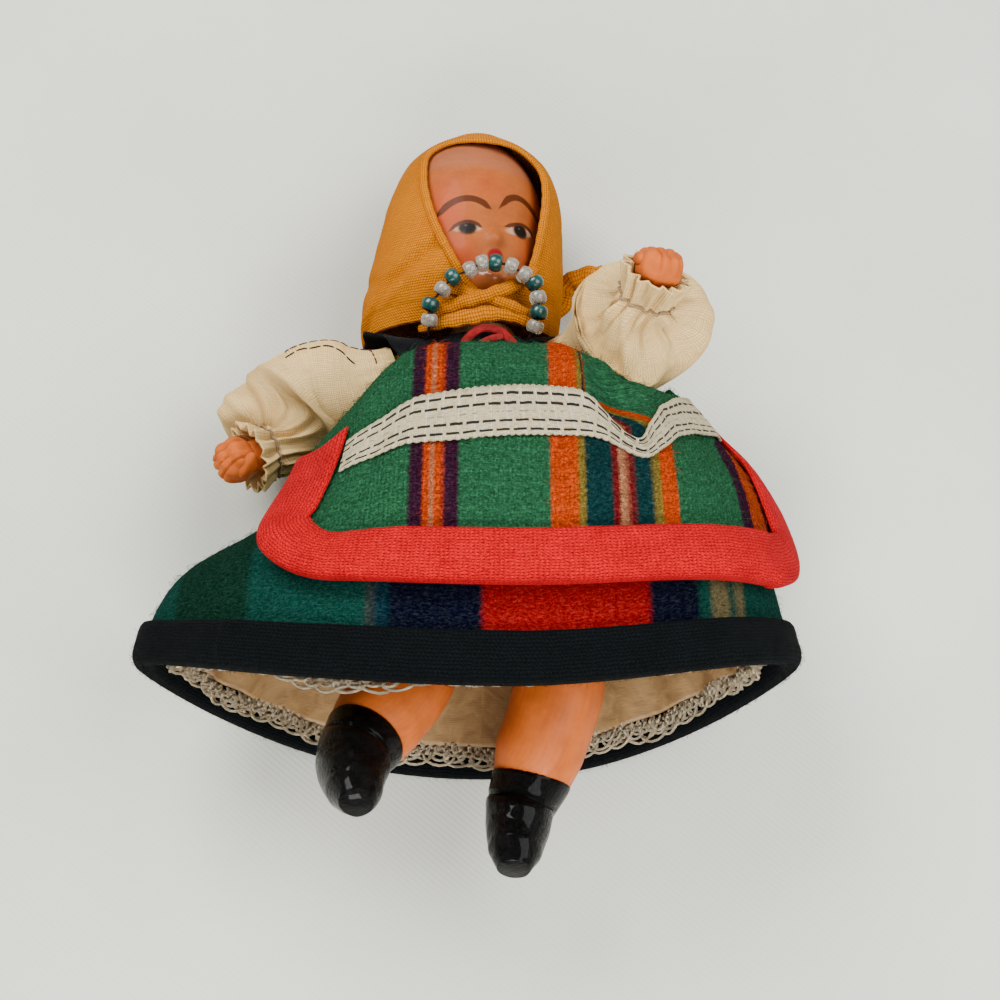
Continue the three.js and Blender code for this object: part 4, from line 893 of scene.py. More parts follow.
y = np.concatenate([[26.6], np.linspace(26.7, 62.3, 150), [62.4]])[:, None]
q = np.linspace(-np.pi, np.pi, 201)[None, :]
skull = face_grid(y, q)
skull[0] = skull[0].mean(0)
skull[-1] = skull[-1].mean(0)
neck_end = ball_grid((0, 27.7, 0), (3.6, 3.6, 3.6), 32, 18)
parts = [(on_head(g), (g[..., 0], np.where(g[..., 2] > 0, g[..., 1], 20))) for g in (skull, neck_end)]
piece("painted_head", parts, "head", face_finish(), "painted_composition", ["head"])

# Headscarf: a hood from the edge of the face round the back, with a rolled hem

scarf_cloth = cotton(
    "golden_cotton", rgb(196, 116, 1), rgb(112, 52, 1), 0.44, 0.45, (0.9, 0.62, 0.3, 1), crown=True
)
CROWN_TOP, LINING_TOP, CROWN_SUNK = 64.2, 63.5, 0.9
HOOD_THICK = 0.7
HEAD_MIDDLE = np.array([0, 42, 14])


def opening_line(count):
    """The opening's oval, carried along its axis until it meets the hood's front."""
    drawn = [(x + 0.25 * ease(x, 3, 9) - 0.7 * (1 - ease(x, -6, 0)), row_y, 26) for x, row_y in OPENING]
    oval = spaced(drawn, count, True)
    k = np.zeros(len(oval))
    for _ in range(30):
        p = oval + k[:, None] * OPENING_AXIS
        left, right, front, back = along(SCARF, p[:, 1])
        s = np.clip((p[:, 0] - (left + right) / 2) / ((right - left) / 2), -0.995, 0.995)
        k += 0.7 * ((front + back) / 2 + (front - back) / 2 * np.sqrt(1 - s * s) - p[:, 2]) / 0.951
    return oval + k[:, None] * OPENING_AXIS


def hood_folds(row_y, q):
    """Creases of the hood: a deep fold from the left side down to the chin, softer ones round the
    cheeks and the back of the head. Each is a bump across a line y = a + b q."""
    total = 0.16 * soft_waves(row_y * 0.35, q * 4, 5) + 0.1 * soft_waves(row_y * 0.8, q * 9, 9)
    lines = [
        (-0.62, 33.5, 12.0, 0.7, -1.5), (-0.95, 29.5, 6.0, 0.5, 0.9), (-1.3, 34.0, -3.0, 0.6, -0.6),
        (0.8, 31.0, -4.0, 0.5, -0.7), (0.75, 36.0, -10.0, 0.35, 0.4),
    ]
    for q0, y0, slope, wide_q, rise in lines:
        line = y0 + slope * (q - q0)
        total = total + rise * bump(row_y - line, 0, 1.5) * bump(q, q0, wide_q)
    return total


edge = opening_line(720)
top_k, low_k = int(edge[:-1, 1].argmax()), int(edge[:-1, 1].argmin())
ring = np.roll(edge[:-1], -low_k, 0)
turn_k = (top_k - low_k) % len(ring)
one, two = ring[: turn_k + 1], np.vstack([ring[turn_k:], ring[:1]])[::-1]
left_edge, right_edge = (one, two) if one[:, 0].mean() < two[:, 0].mean() else (two, one)
y_low, y_top = edge[:, 1].min(), edge[:, 1].max()
inside = np.sin(np.linspace(-np.pi / 2, np.pi / 2, 61)) * (y_top - y_low) / 2 + (y_top + y_low) / 2
above = y_top + (64.1 - y_top) * np.sin(np.linspace(0, np.pi / 2, 16))[1:]
heights = np.concatenate([np.linspace(24.8, y_low, 10)[:-1], inside, above])


def crown_settled(points):
    """The crown of the hood pressed down by 0.9 mm, fading below it."""
    return points - (CROWN_SUNK * ease(points[..., 1], 55, CROWN_TOP))[..., None] * np.array([0, 1, 0])


def edge_angle(line, row_y):
    """Angle round the hood where a side of the opening stands at height y: arcsin((x - mid) / half)."""
    x = np.interp(row_y, line[:, 1], line[:, 0])
    left, right, front, back = along(SCARF, row_y)
    return np.arcsin(np.clip((x - (left + right) / 2) / ((right - left) / 2), -0.999, 0.999))


shut = edge_angle(right_edge, np.array([y_low, y_top]))
inner_rows = (heights >= y_low) & (heights <= y_top)
shut_q = np.interp(heights, [y_low, y_top], shut)
from_q = np.where(inner_rows, edge_angle(right_edge, heights), shut_q)
to_q = np.where(inner_rows, edge_angle(left_edge, heights), shut_q) + 2 * np.pi
s = 0.5 - 0.5 * np.cos(np.linspace(0, np.pi, 241))
q = from_q[:, None] + (to_q - from_q)[:, None] * s[None, :]
wrapped = np.where(q > np.pi, q - 2 * np.pi, q)
rows = np.broadcast_to(heights[:, None], q.shape)
crown = 1 - 0.85 * ease(rows, 60, 64.1)
plain_hood = stack(SCARF, rows, q)
creased = (hood_folds(rows, wrapped) * crown)[..., None] * unit(plain_hood - HEAD_MIDDLE)
outer_hood = plain_hood + creased
inner_hood = stack(SCARF, np.minimum(rows, 63.4), q, -HOOD_THICK) + (outer_hood - plain_hood)


def crown_point(height):
    """A row of the hood drawn to one point over the middle of its crown."""
    return np.broadcast_to(outer_hood[-1].mean(0) * [1, 0, 1] + [0, height, 0], outer_hood[-1:].shape)


bottom = (outer_hood[:1] + inner_hood[:1]) / 2
crown_rows = both_faces(crown_point(CROWN_TOP), crown_point(LINING_TOP))
walk = np.concatenate([both_faces(bottom, bottom), both_faces(outer_hood, inner_hood), crown_rows])
across_hood = arcs(outer_hood)[1]
hood_u = ends_doubled(both_faces(across_hood, across_hood))
hood_v = np.broadcast_to(np.concatenate([heights[:1], heights, [65.2]])[:, None], hood_u.shape)


def roll_grid(line, wide, thick, out, lump=0.06, seed=3):
    """A rolled or folded edge of cloth along a line: an oval section with the twist's soft lumps."""
    line = np.array(line, float)
    ahead = unit(np.gradient(line, axis=0))
    across = unit(np.cross(ahead, out))
    up = np.cross(across, ahead)
    q = np.linspace(0, 2 * np.pi, 29)
    along_mm = lengths_along(line)
    twist = soft_waves(along_mm[:, None] * 0.8, 2 * np.cos(q)[None, :], seed)
    lumps = 1 + lump * twist + lump * np.sin(along_mm[:, None] * 2.1 + q[None, :])
    wide, thick = (np.broadcast_to(np.asarray(w, float), (len(line),))[:, None] for w in (wide, thick))
    sideways = across[:, None] * (wide * np.cos(q) * lumps)[..., None]
    upwards = up[:, None] * (thick * np.sin(q) * lumps)[..., None]
    return capped(line[:, None] + sideways + upwards), (ends_doubled(along_mm)[:, None], q[None, :])


hem = spaced(edge[:-1][::6], 300, True)
hem_out = unit(hem - np.array([3, 42, 10]))
hem_mm = lengths_along(hem)
ahead = unit(np.roll(hem, -1, 0) - np.roll(hem, 1, 0))
ahead[0] = ahead[-1] = unit(hem[1] - hem[-2])
across = unit(np.cross(ahead, hem_out))
q = np.linspace(0, 2 * np.pi, 33)
hem_lumps = 0.04 * soft_waves(hem_mm[:, None] * 0.5, q[None, :], 8)
hem_swell = 1 + 0.05 * np.sin(hem_mm * 2.6)[:, None] + hem_lumps
hem_swell[-1] = hem_swell[0]
hem_wide = across[:, None] * (0.78 * np.cos(q) * hem_swell)[..., None]
hem_thick = hem_out[:, None] * (0.5 * np.sin(q) * hem_swell)[..., None]
hem_grid = hem[:, None] + hem_wide + hem_thick + 0.1 * hem_out[:, None]
hem_grid[-1] = hem_grid[0]
hem_grid, walk = crown_settled(hem_grid), crown_settled(walk)
hem_uv = (hem_mm[:, None], q[None, :] * 0.8)


def chin_rolls():
    """The scarf's two ends crossed under the chin: two bent rolls of cloth and their lower folds."""
    paths = [
        [
            (-7.2, 33.2, 23.6), (-5, 31.2, 26), (-2.4, 29.6, 27.2), (0.8, 28.2, 28.0), (4.2, 27.2, 28.2),
            (7.6, 26.0, 27.6), (10.4, 25.4, 25.8),
        ],
        [
            (-8.2, 25.8, 24.0), (-5.4, 26.0, 26.6), (-1.2, 26.8, 28.0), (2.4, 27.6, 28.6), (5.6, 29.0, 28.2),
            (8.6, 31.2, 26.8), (10.8, 34.4, 24.4),
        ],
        [
            (-8.0, 24.4, 23.8), (-4.8, 24.2, 26.4), (-0.6, 24.5, 27.6), (3.4, 25.2, 27.8), (7.4, 25.0, 27.2),
            (10.6, 24.0, 25.6),
        ],
    ]
    sizes = [(1.15, 0.75), (1.25, 0.8), (1.6, 0.7)]
    made = []
    for k, (path, (wide, thick)) in enumerate(zip(paths, sizes)):
        line = spaced(path, 90)
        part_way = np.linspace(0, 1, 91)
        taper = 0.55 + 0.45 * np.sin(np.pi * np.clip(part_way, 0.02, 0.98)) ** 0.5
        made.append(roll_grid(line, wide * taper, thick * taper, np.array([0, 0.1, 1.0]), 0.07, 21 + k))
    return made


def scarf_tail():
    """The end of the scarf that comes out behind the cheek: a loose roll bent up and over."""
    bends = [
        (9.5, 33.6, 9.5), (13, 33.4, 8.2), (15.4, 35.4, 8), (16.2, 38, 8.8), (18.6, 39.4, 10),
        (22.4, 39.2, 11),
    ]
    path = spaced(bends, 110)
    wide = np.interp(np.linspace(0, 1, 111), [0, 0.3, 0.6, 1], [2.4, 2.1, 1.9, 2.3])
    return roll_grid(path, wide, wide * 0.62, np.array([-0.3, 0.2, 1.0]), 0.09, 31)


# Below and above the opening the hood goes all round, so its two side edges meet and need no wall
seam = np.zeros((walk.shape[0] - 1, walk.shape[1] - 1), bool)
all_round = np.concatenate([[True], ~inner_rows, [True]])
seam[np.ix_(all_round[:-1] & all_round[1:], [len(s) - 1, walk.shape[1] - 2])] = True
hood = (walk, (hood_u, hood_v), ease(walk[..., 1], 58, 61.5), ~seam)
scarf_parts = [hood, (hem_grid, hem_uv), *chin_rolls(), scarf_tail()]
headscarf = piece("cotton_headscarf", scarf_parts, "head", scarf_cloth, "yellow_cotton", ["headscarf"])

# Blouse body, bodice and waistband, round the torso


def body_panel(inside, cloth, bottom, top, armhole, face):
    """Front (face 1) or back (face -1) of a bodice: rows of ellipses that stop at the side seam,
    or at the armhole, a circle about the shoulder: z = 18 +- sqrt(r^2 - (y - 18)^2)."""
    rows = np.linspace(bottom, top, 44)
    gap = armhole**2 - (rows - SHOULDER[1]) ** 2
    stop_z = np.where(gap > 0, SHOULDER[2] + face * np.sqrt(np.maximum(gap, 0)), SHOULDER[2])
    left, right, front, back = along(TORSO, rows)
    depth = (front - back) / 2 + inside + cloth
    cos_stop = np.clip((stop_z - (front + back) / 2) / depth, -0.98, 0.98)
    reach = np.arccos(face * cos_stop)
    s = np.linspace(-1, 1, 90)
    q = reach[:, None] * s[None, :] + (0 if face > 0 else np.pi)
    y = np.broadcast_to(rows[:, None], q.shape)
    ripple = 0.1 * soft_waves(y * 0.9, q * 5, 14)
    outer = stack(TORSO, y, q, inside + cloth + ripple)
    inner = stack(TORSO, y, q, inside + ripple)
    return closed_sheet(outer, inner)


STRAP_THICK = 0.45


def shoulder_strap(side):
    """The bodice's wing over the sleeve head: part of a cone about the arm's ball, x running out
    furthest above the arm and least in front."""
    q = np.linspace(math.radians(-38), math.radians(96), 40)[None, :]
    s = np.linspace(0, 1, 24)[:, None]
    reach = 12.4 - 6.4 * ease(q, -0.1, 1.5) + 0.3 * np.sin(7 * q)
    x = BODY_X + side * (7.4 + reach * s)
    y_mid, z_mid = 18 - 0.6 * s * (side < 0), 18 + 0.2 * s
    radius = 6.4 + 1.5 * s**2 + 0.2 * np.sin(9 * q) * s
    outer, inner = (
        np.stack(np.broadcast_arrays(x, y_mid + r * np.cos(q), z_mid + r * np.sin(q)), -1)
        for r in (radius, radius - STRAP_THICK)
    )
    return closed_sheet(outer, inner)


def velvet():
    """Black velvet: a deep pile, lighter where it is brushed, with lint."""
    f = Finish(
        "black_velvet", roughness=1.0, sheen_weight=0.06, sheen_roughness=0.35, specular_ior_level=0.05
    )
    spot = f.place()
    brushed = f.noise(spot, 0.35, 4, 0.6, 0.5)
    pile = f.noise(spot, 4.5, 3, 0.7)
    base = f.mix(f.level(brushed, 0.35, 0.7), rgb(5, 6, 8), rgb(15, 17, 20))
    base = f.mix(f.level(pile, 0.68, 0.8, 0, 0.35), base, rgb(46, 50, 54))
    f.set("Base Color", base)
    f.bumped(f.math("MULTIPLY_ADD", brushed, 1.2, pile), 0.00025, 0.8)
    return f.material


cream = cotton("cream_cotton", rgb(232, 198, 136), rgb(148, 116, 70), 0.33, 0.5, (0.92, 0.78, 0.5, 1), 0.65)
panels = [body_panel(0.3, 0.5, 5.5, 22.2, 5.2, face_sign) for face_sign in (1, -1)]
blouse = piece("blouse_front_and_back", panels, "torso", cream, "cream_cotton", ["blouse_body"])
panels = [body_panel(1.1, 0.8, 6.5, 23.2, 5.8, face_sign) for face_sign in (1, -1)]
straps = [shoulder_strap(side) for side in (-1, 1)]
bodice = piece("velvet_bodice", panels + straps, "torso", velvet(), "black_velvet", ["bodice"])

q = np.linspace(-np.pi, np.pi, 161)[None, :]
y = np.array([7.8, 7.9, 9.4, 10.9, 11, 11, 10.9, 9.4, 7.9, 7.8, 7.8])[:, None]
out = np.array([2.35, 2.75, 2.8, 2.75, 2.5, 2.35, 2.2, 2.2, 2.2, 2.3, 2.35])[:, None]
band_grid = stack(TORSO, y, q, out)
piece("tape_waistband", [band_grid], "torso", cream, "cream_cotton", ["waistband"])


def satin(name, colour, shade, gloss=0.35, relief=0.00022):
    """Satin: threads floating along u, so its shine runs in streaks, painted into the colour; crushed creases
    painted darker as shade, and fraying.
    """
    f = Finish(name, roughness=gloss, anisotropic=0.5, specular_ior_level=0.35)
    u, v = f.uv()
    floats = f.noise(f.vector(f.math("MULTIPLY", u, 0.4), f.math("MULTIPLY", v, 6.0)), 1.0, 3)
    crush = f.noise(f.vector(u, v), 0.35, 5, 0.6, 0.6)
    # Painted shade in the crushed creases, mixed towards the shade colour
    base = f.mix(f.level(crush, 0.35, 0.66), shade, colour)
    # Painted sheen: the colour lighter and darker in streaks along the floats
    base = f.times(base, f.level(floats, 0.3, 0.7, 0.88, 1.1))
    f.set("Base Color", base)
    f.set("Roughness", f.level(crush, 0.3, 0.7, gloss + 0.25, gloss))
    f.bumped(f.math("MULTIPLY_ADD", crush, 3.0, floats), relief, 0.8)
    return f.material


red_satin = satin("red_satin", rgb(150, 1, 8), rgb(92, 1, 4), 0.7)
arch = spaced(
    [
        (-1.4, 18.6, 27.5), (-0.2, 20.5, 28.0), (1.4, 22.0, 28.1), (3.4, 22.3, 28.1), (5.4, 21.6, 28.0),
        (7.0, 19.9, 27.9), (7.9, 18.4, 27.7),
    ],
    90,
)
arch_part = roll_grid(arch, 0.75, 0.42, np.array([0, 0.2, 1.0]), 0.06, 41)
tie = spaced([(1.0, 19.2, 28.1), (2.6, 19.9, 28.4), (4.0, 20.5, 28.5), (5.4, 20.9, 28.5)], 40)
tie_part = roll_grid(tie, 0.62, 0.3, np.array([0, 0.2, 1.0]), 0.08, 42)
piece("satin_ribbon_loop", [arch_part, tie_part], "torso", red_satin, "red_ribbon", ["bodice_ribbon"])

# Dress: skirt, lining, apron and their trims all follow one draped surface


def walk_of(shares, outer, inner):
    """Shares and lifts for a walk down the outer face and back up the inner one."""
    back = shares[::-1]
    lifts = np.concatenate([outer(shares), inner(back), outer(shares[:1])])
    return np.concatenate([shares, back, shares[:1]]), lifts


def dress_band(columns, shares, outer, inner, waves=1.0, extra=None):
    """A closed band of cloth round the doll, with its length across and down as its map."""
    angles = np.linspace(-np.pi, np.pi, columns + 1)
    t, lift = walk_of(shares, outer, inner)
    angle_grid, share_grid = np.meshgrid(angles, t, indexing="ij")
    more = 0 if extra is None else extra(angle_grid, share_grid)
    grid = dress(angle_grid, share_grid, lift[None, :] + more, waves)
    u = arcs(grid)[0]
    middle = columns // 2
    u = u - u[middle : middle + 1]
    v = arcs(grid[:, : len(shares)])[1]
    return grid, (u, both_faces(v, v))


def nap(angle, t):
    """Slow unevenness of the wool, in millimetres."""
    return 0.12 * soft_waves(angle * 22, t * 34, 4) * ease(t, 0.02, 0.12)


dark_green, teal, navy, red = rgb(1, 33, 21), rgb(1, 50, 42), rgb(1, 2, 22), rgb(118, 2, 5)
pale_wool = rgb(84, 76, 50)
SKIRT_STRIPES = [
    (-140, navy), (-122, red), (-108, navy), (-98, teal), (-80, dark_green), (-62, teal),
    (-50, rgb(1, 36, 24)), (-34.4, teal), (-16.2, pale_wool), (-15.4, rgb(1, 30, 40)),
    (-12.3, navy), (0.5, red), (24.9, navy), (32.6, teal), (34.7, pale_wool), (37.4, teal), (39.3, pale_wool),
    (41.2, teal), (62, dark_green), (80, teal), (98, navy), (108, red), (122, navy),
]
skirt_wool = wool("striped_skirt_wool", SKIRT_STRIPES, 280, 0.45, 0.0, 0.34)
WOOL_HALF = 0.6
CLOTH_COLUMNS = 420
skirt_shares = np.concatenate([np.linspace(0, 0.2, 34), np.linspace(0.2, 1, 56)[1:]])
skirt_grid, skirt_uv = dress_band(
    CLOTH_COLUMNS, skirt_shares, lambda t: WOOL_HALF + 0 * t, lambda t: -WOOL_HALF + 0 * t, 1.0, nap
)
skirt = piece("wool_skirt", [(skirt_grid, skirt_uv)], "torso", skirt_wool, "striped_wool", ["skirt"])


def petticoat_lift(t):
    """The lining's outer face, 1.7 to 3.1 mm inside the middle of the skirt."""
    return -1.7 - 1.4 * ease(t, 0.3, 0.8)


def lining_folds(angle, t):
    """Loose pleats of the lining that deepen towards its edge."""
    return (-0.9 + 0.9 * np.sin(23 * angle + 2.5 * np.sin(3 * angle))) * 0.6 * ease(t, 0.35, 0.9)


lining = satin("satin_lining", rgb(152, 122, 80), rgb(124, 96, 62), 0.4, 0.00007)
LINING_THICK, LINING_WAVES = 0.6, 0.3
petticoat_grid, petticoat_uv = dress_band(
    CLOTH_COLUMNS, np.linspace(0.2, 0.945, 64), petticoat_lift,
    lambda t: petticoat_lift(t) - LINING_THICK, LINING_WAVES, lining_folds,
)
petticoat = piece(
    "satin_petticoat", [(petticoat_grid, petticoat_uv)], "torso", lining, "lining", ["petticoat"]
)


def lace_finish():
    """Shiny crochet thread: two plies twisted along each tube, painted light on their crowns and dark between
    them.
    """
    f = Finish("crochet_thread", roughness=0.38, specular_ior_level=0.6)
    u, v = f.uv()
    ply = f.wave(f.math("MULTIPLY_ADD", v, 2.2, u), 0.5)
    tone = f.noise(f.place(), 0.4, 3)
    # Painted highlight on the crowns of the plies and painted shade in the gaps between them
    base = f.mix(ply, rgb(168, 138, 94), rgb(255, 240, 204))
    f.set("Base Color", f.times(base, f.level(tone, 0.3, 0.7, 0.82, 1.08)))
    f.bumped(ply, 0.00014)
    return f.material


LOOP_SHARPNESS = 12
LACE_RING = 44


def lace_thread(loops, at, wide, reach, phase, seed, radius, lift):
    """A crochet thread round the lining's edge: a looping curve, share = at + wide cos(turn) and
    angle = s + reach sin(turn), whose loops vary and hang unevenly."""
    rng = np.random.default_rng(seed)
    s = np.linspace(0, 2 * np.pi, loops * LOOP_SHARPNESS, endpoint=False)
    k = (s / (2 * np.pi) * loops).astype(int)
    vary = rng.uniform(0.65, 1.35, loops)[k]
    turn = s * loops + phase
    near = np.angle(np.exp(1j * s))
    hang = 0.03 * bump(near, -0.36, 0.3) - 0.016 * bump(near, 0.3, 0.4) + 0.01 * np.sin(11 * s)
    t = at + hang * (at > 0.93) + wide * vary * np.cos(turn)
    angle = s + reach / LACE_RING * vary * np.sin(turn)
    side = lift + 0.35 * np.sin(turn * 2 + 1.0) + 0.3 * rng.uniform(-1, 1, loops)[k]
    wrapped = np.where(angle > np.pi, angle - 2 * np.pi, angle)
    line = dress(
        wrapped, t, petticoat_lift(t) - 0.3 + side + lining_folds(wrapped, 0.9 + 0 * t), LINING_WAVES
    )
    smooth_line = (np.roll(line, 1, 0) + 2 * line + np.roll(line, -1, 0)) / 4
    return tube_grid(smooth_line, radius, 5, True)


lace_parts = [
    lace_thread(216, 0.946, 0.009, 0.5, 3.0, 51, 0.22, 0.3),
    lace_thread(240, 0.956, 0.009, 0.45, 0.0, 52, 0.26, 0.0),
    lace_thread(232, 0.963, 0.01, 0.45, 2.1, 53, 0.26, 0.35),
    lace_thread(204, 0.97, 0.011, 0.6, 4.2, 54, 0.25, -0.25),
    lace_thread(128, 0.982, 0.014, 1.0, 1.0, 55, 0.24, 0.2),
    lace_thread(84, 0.992, 0.016, 1.3, 0.4, 56, 0.24, 0.0),
]
lace = piece("crochet_lace", lace_parts, "torso", lace_finish(), "lace", ["petticoat_lace"])


def binding(width, half, thick, gap):
    """A braid folded over an edge, as (way inwards, side of the cloth) round its section."""
    outer = half + gap
    outmost = outer + thick
    corners = [
        (width - 0.1, outmost - 0.25), (width / 2, outmost + 0.05), (0.3, outmost),
        (-thick * 0.9, outmost * 0.62), (-thick - 0.1, 0), (-thick * 0.9, -outmost * 0.62), (0.3, -outmost),
        (width * 0.4, -outmost), (width * 0.7, -outmost + 0.15), (width * 0.7, -outer),
        (width * 0.15, -outer), (-0.25, -outer * 0.8), (-0.25, outer * 0.8), (width * 0.15, outer),
        (width / 2, outer), (width, outer),
    ]
    section = spline([(a, b, 0) for a, b in corners], np.linspace(0, 1, 57), True)
    return section[:, 0], section[:, 1]


hem_finish = knitted("black_knitted_braid", rgb(9, 14, 16), rgb(0, 0, 1), 0.6, 0.62, 0.05, 1.0, 0.0003)
inward, side = binding(6.8, 0.6, 1.1, 0.3)
angles = np.linspace(-np.pi, np.pi, 481)
angle_grid, inward_grid = np.meshgrid(angles, inward, indexing="ij")
lap = np.radians(-46.0)
step = 0.55 * ease(angle_grid, lap - 0.02, lap + 0.02) * (1 - ease(angle_grid, lap + 0.1, lap + 0.35))
felt = 0.1 * soft_waves(angle_grid * 40, inward_grid * 1.1, 12)
lift = side[None, :] * (1 + (felt + step) / 2.0)
hem_braid_grid = dress(angle_grid, 1 - inward_grid / HEM_SLOPE, lift)
hem_map = (arcs(hem_braid_grid)[0], lengths_along(np.stack([inward, side], 1))[None, :])
skirt_hem = piece(
    "knitted_hem_braid", [(hem_braid_grid, hem_map)], "torso", hem_finish, "black_braid", ["skirt_hem_braid"]
)

# Apron

APRON_COLUMNS = 360
APRON_EDGE = 0.6
APRON_TOP = 0.03
APRON_LENGTH = 58


def apron_u(grid, degrees):
    """Distance across the cloth from the doll's midline."""
    u = arcs(grid)[0]
    return u - u[np.abs(degrees).argmin()][None, :]


def pocket(degrees, t):
    """Where the cloth is caught on the right: a hollow above the ribbon, exp(-(off / wide)^2) both ways."""
    return -1.6 * bump(degrees, 44, 5.0) * bump(t, 0.2, 0.035)


green, purple, orange, pale = rgb(34, 88, 57), rgb(46, 10, 36), rgb(180, 58, 1), rgb(160, 106, 74)
sea, crimson, straw = rgb(4, 46, 48), rgb(104, 12, 18), rgb(116, 98, 36)
APRON_STRIPES = [
    (-60, green), (-9.8, purple), (-8.1, orange), (-6.95, pale), (-6.3, orange), (-5.15, purple),
    (-2.7, green), (10.5, orange), (14.2, straw), (15.3, sea), (19.4, crimson), (20.55, pale),
    (21.75, crimson), (22.8, sea), (25.8, straw), (27.1, orange), (29.7, green), (41.3, purple),
    (44.0, rgb(160, 58, 16)), (47.6, purple), (49.4, green),
]
apron_wool = wool("striped_apron_wool", APRON_STRIPES, 130, 0.22, 0.08, 0.4, 0.26)
cut_left, cut_right = APRON["left"] + APRON_EDGE, APRON["right"] - APRON_EDGE
degrees = np.concatenate([[cut_left], np.linspace(cut_left, cut_right, APRON_COLUMNS + 1), [cut_right]])
full_side = np.concatenate([[0], np.ones(APRON_COLUMNS + 1), [0]])
share = np.linspace(0, 1, 96) ** 1.15
bottom_t = apron_bottom(degrees, APRON_EDGE) - 0.3 / HEM_SLOPE
share_grid = APRON_TOP + (bottom_t[:, None] - APRON_TOP) * share[None, :]
degree_grid = np.broadcast_to(degrees[:, None], share_grid.shape)


def apron_relief(d, t):
    """The pocket, ribs every 1.9 mm down the cloth and slow unevenness, in millimetres."""
    ribs = 0.07 * np.sin(t * APRON_LENGTH / 1.9 * 2 * np.pi) * ease(t, 0.1, 0.2)
    uneven = 0.14 * soft_waves(d * 0.4, t * 30, 6) * ease(t, 0.02, 0.1)
    return pocket(d, t) + ribs + uneven


relief = apron_relief(degree_grid, share_grid)
outer_face, inner_face = (
    apron_point(degree_grid, share_grid, half * full_side[:, None] + relief, 0.5) for half in (0.5, -0.5)
)
cloth_u = apron_u(outer_face, degrees)
# Above the ribbon the cloth is tucked: past the straw line the stripes go on from the green one, closer
TUCK_FROM, TUCK_TO, TUCK_PITCH = 15.3, 30.2, 0.32
tucked = ease(cloth_u, TUCK_FROM - 0.1, TUCK_FROM + 0.4) * (1 - ease(share_grid, 0.28, 0.36))
cloth_u = cloth_u + (TUCK_TO + (cloth_u - TUCK_FROM) * TUCK_PITCH - cloth_u) * tucked
cloth_v = arcs(outer_face)[1]
apron_part = (
    both_faces(outer_face, inner_face), (both_faces(cloth_u, cloth_u), both_faces(cloth_v, cloth_v))
)
apron = piece("wool_apron", [apron_part], "torso", apron_wool, "apron_wool", ["apron"])


def apron_edge():
    """The apron's edge from the top of its left side, round both corners, to the top of its right side:
    an angle, a share of the length and the way inwards."""
    left, right, corner, top = APRON["left"], APRON["right"], APRON["corner"], APRON["top"]
    left_drop, right_drop = APRON["left_drop"], APRON["right_drop"]
    left_low, right_low = apron_bottom(left), apron_bottom(right)
    s = np.linspace(0, 1, 60, endpoint=False)
    rows = [np.stack([left + 0 * s, top + (left_low - top) * s, 1 + 0 * s, 0 * s], 1)]
    a = np.linspace(0, np.pi / 2, 60)
    d, t = left + corner * (1 - np.cos(a)), left_low + left_drop * np.sin(a)
    rows.append(np.stack([d, t, np.cos(a), -np.sin(a)], 1))
    d = np.linspace(left + corner, right - corner, 200)[1:-1]
    rows.append(np.stack([d, apron_bottom(d), 0 * d, -1 + 0 * d], 1))
    d, t = right - corner * (1 - np.sin(a)), right_low + right_drop * np.cos(a)
    rows.append(np.stack([d, t, -np.sin(a), -np.cos(a)], 1))
    s = np.linspace(0, 1, 61)[1:]
    rows.append(np.stack([right + 0 * s, right_low + (top - right_low) * s, -1 + 0 * s, 0 * s], 1))
    return np.concatenate(rows)


red_braid = knitted("red_knitted_braid", rgb(176, 3, 15), rgb(106, 1, 8), 0.46, 0.7, 0.1, 0.9, 0.00013)
edge_rows = apron_edge()
inward, side = binding(6.6, 0.5, 0.9, 0.5)
d, t, in_x, in_t = edge_rows.T
around, down = dress_scale(d, t)
braid_degrees = d[:, None] + (in_x / around)[:, None] * inward[None, :]
braid_shares = t[:, None] + (in_t / down)[:, None] * inward[None, :]
swell = 1 + 0.04 * soft_waves(np.arange(len(d))[:, None] * 0.12, inward[None, :], 16)
braid_grid = apron_point(braid_degrees, braid_shares, side[None, :] * swell)
braid_map = (ends_doubled(arcs(braid_grid)[0][:, 8:9]), lengths_along(np.stack([inward, side], 1))[None, :])
braid_part = (capped(braid_grid), braid_map)
apron_braid = piece("knitted_apron_braid", [braid_part], "torso", red_braid, "red_braid", ["apron_braid"])


DASH_PITCH = 2.35
DASH_ROWS = [(1.0, 0.21, 1.0), (2.55, 0.22, 1.0), (3.9, 0.1, 0.6), (5.35, 0.22, 1.0), (6.85, 0.2, 1.0)]


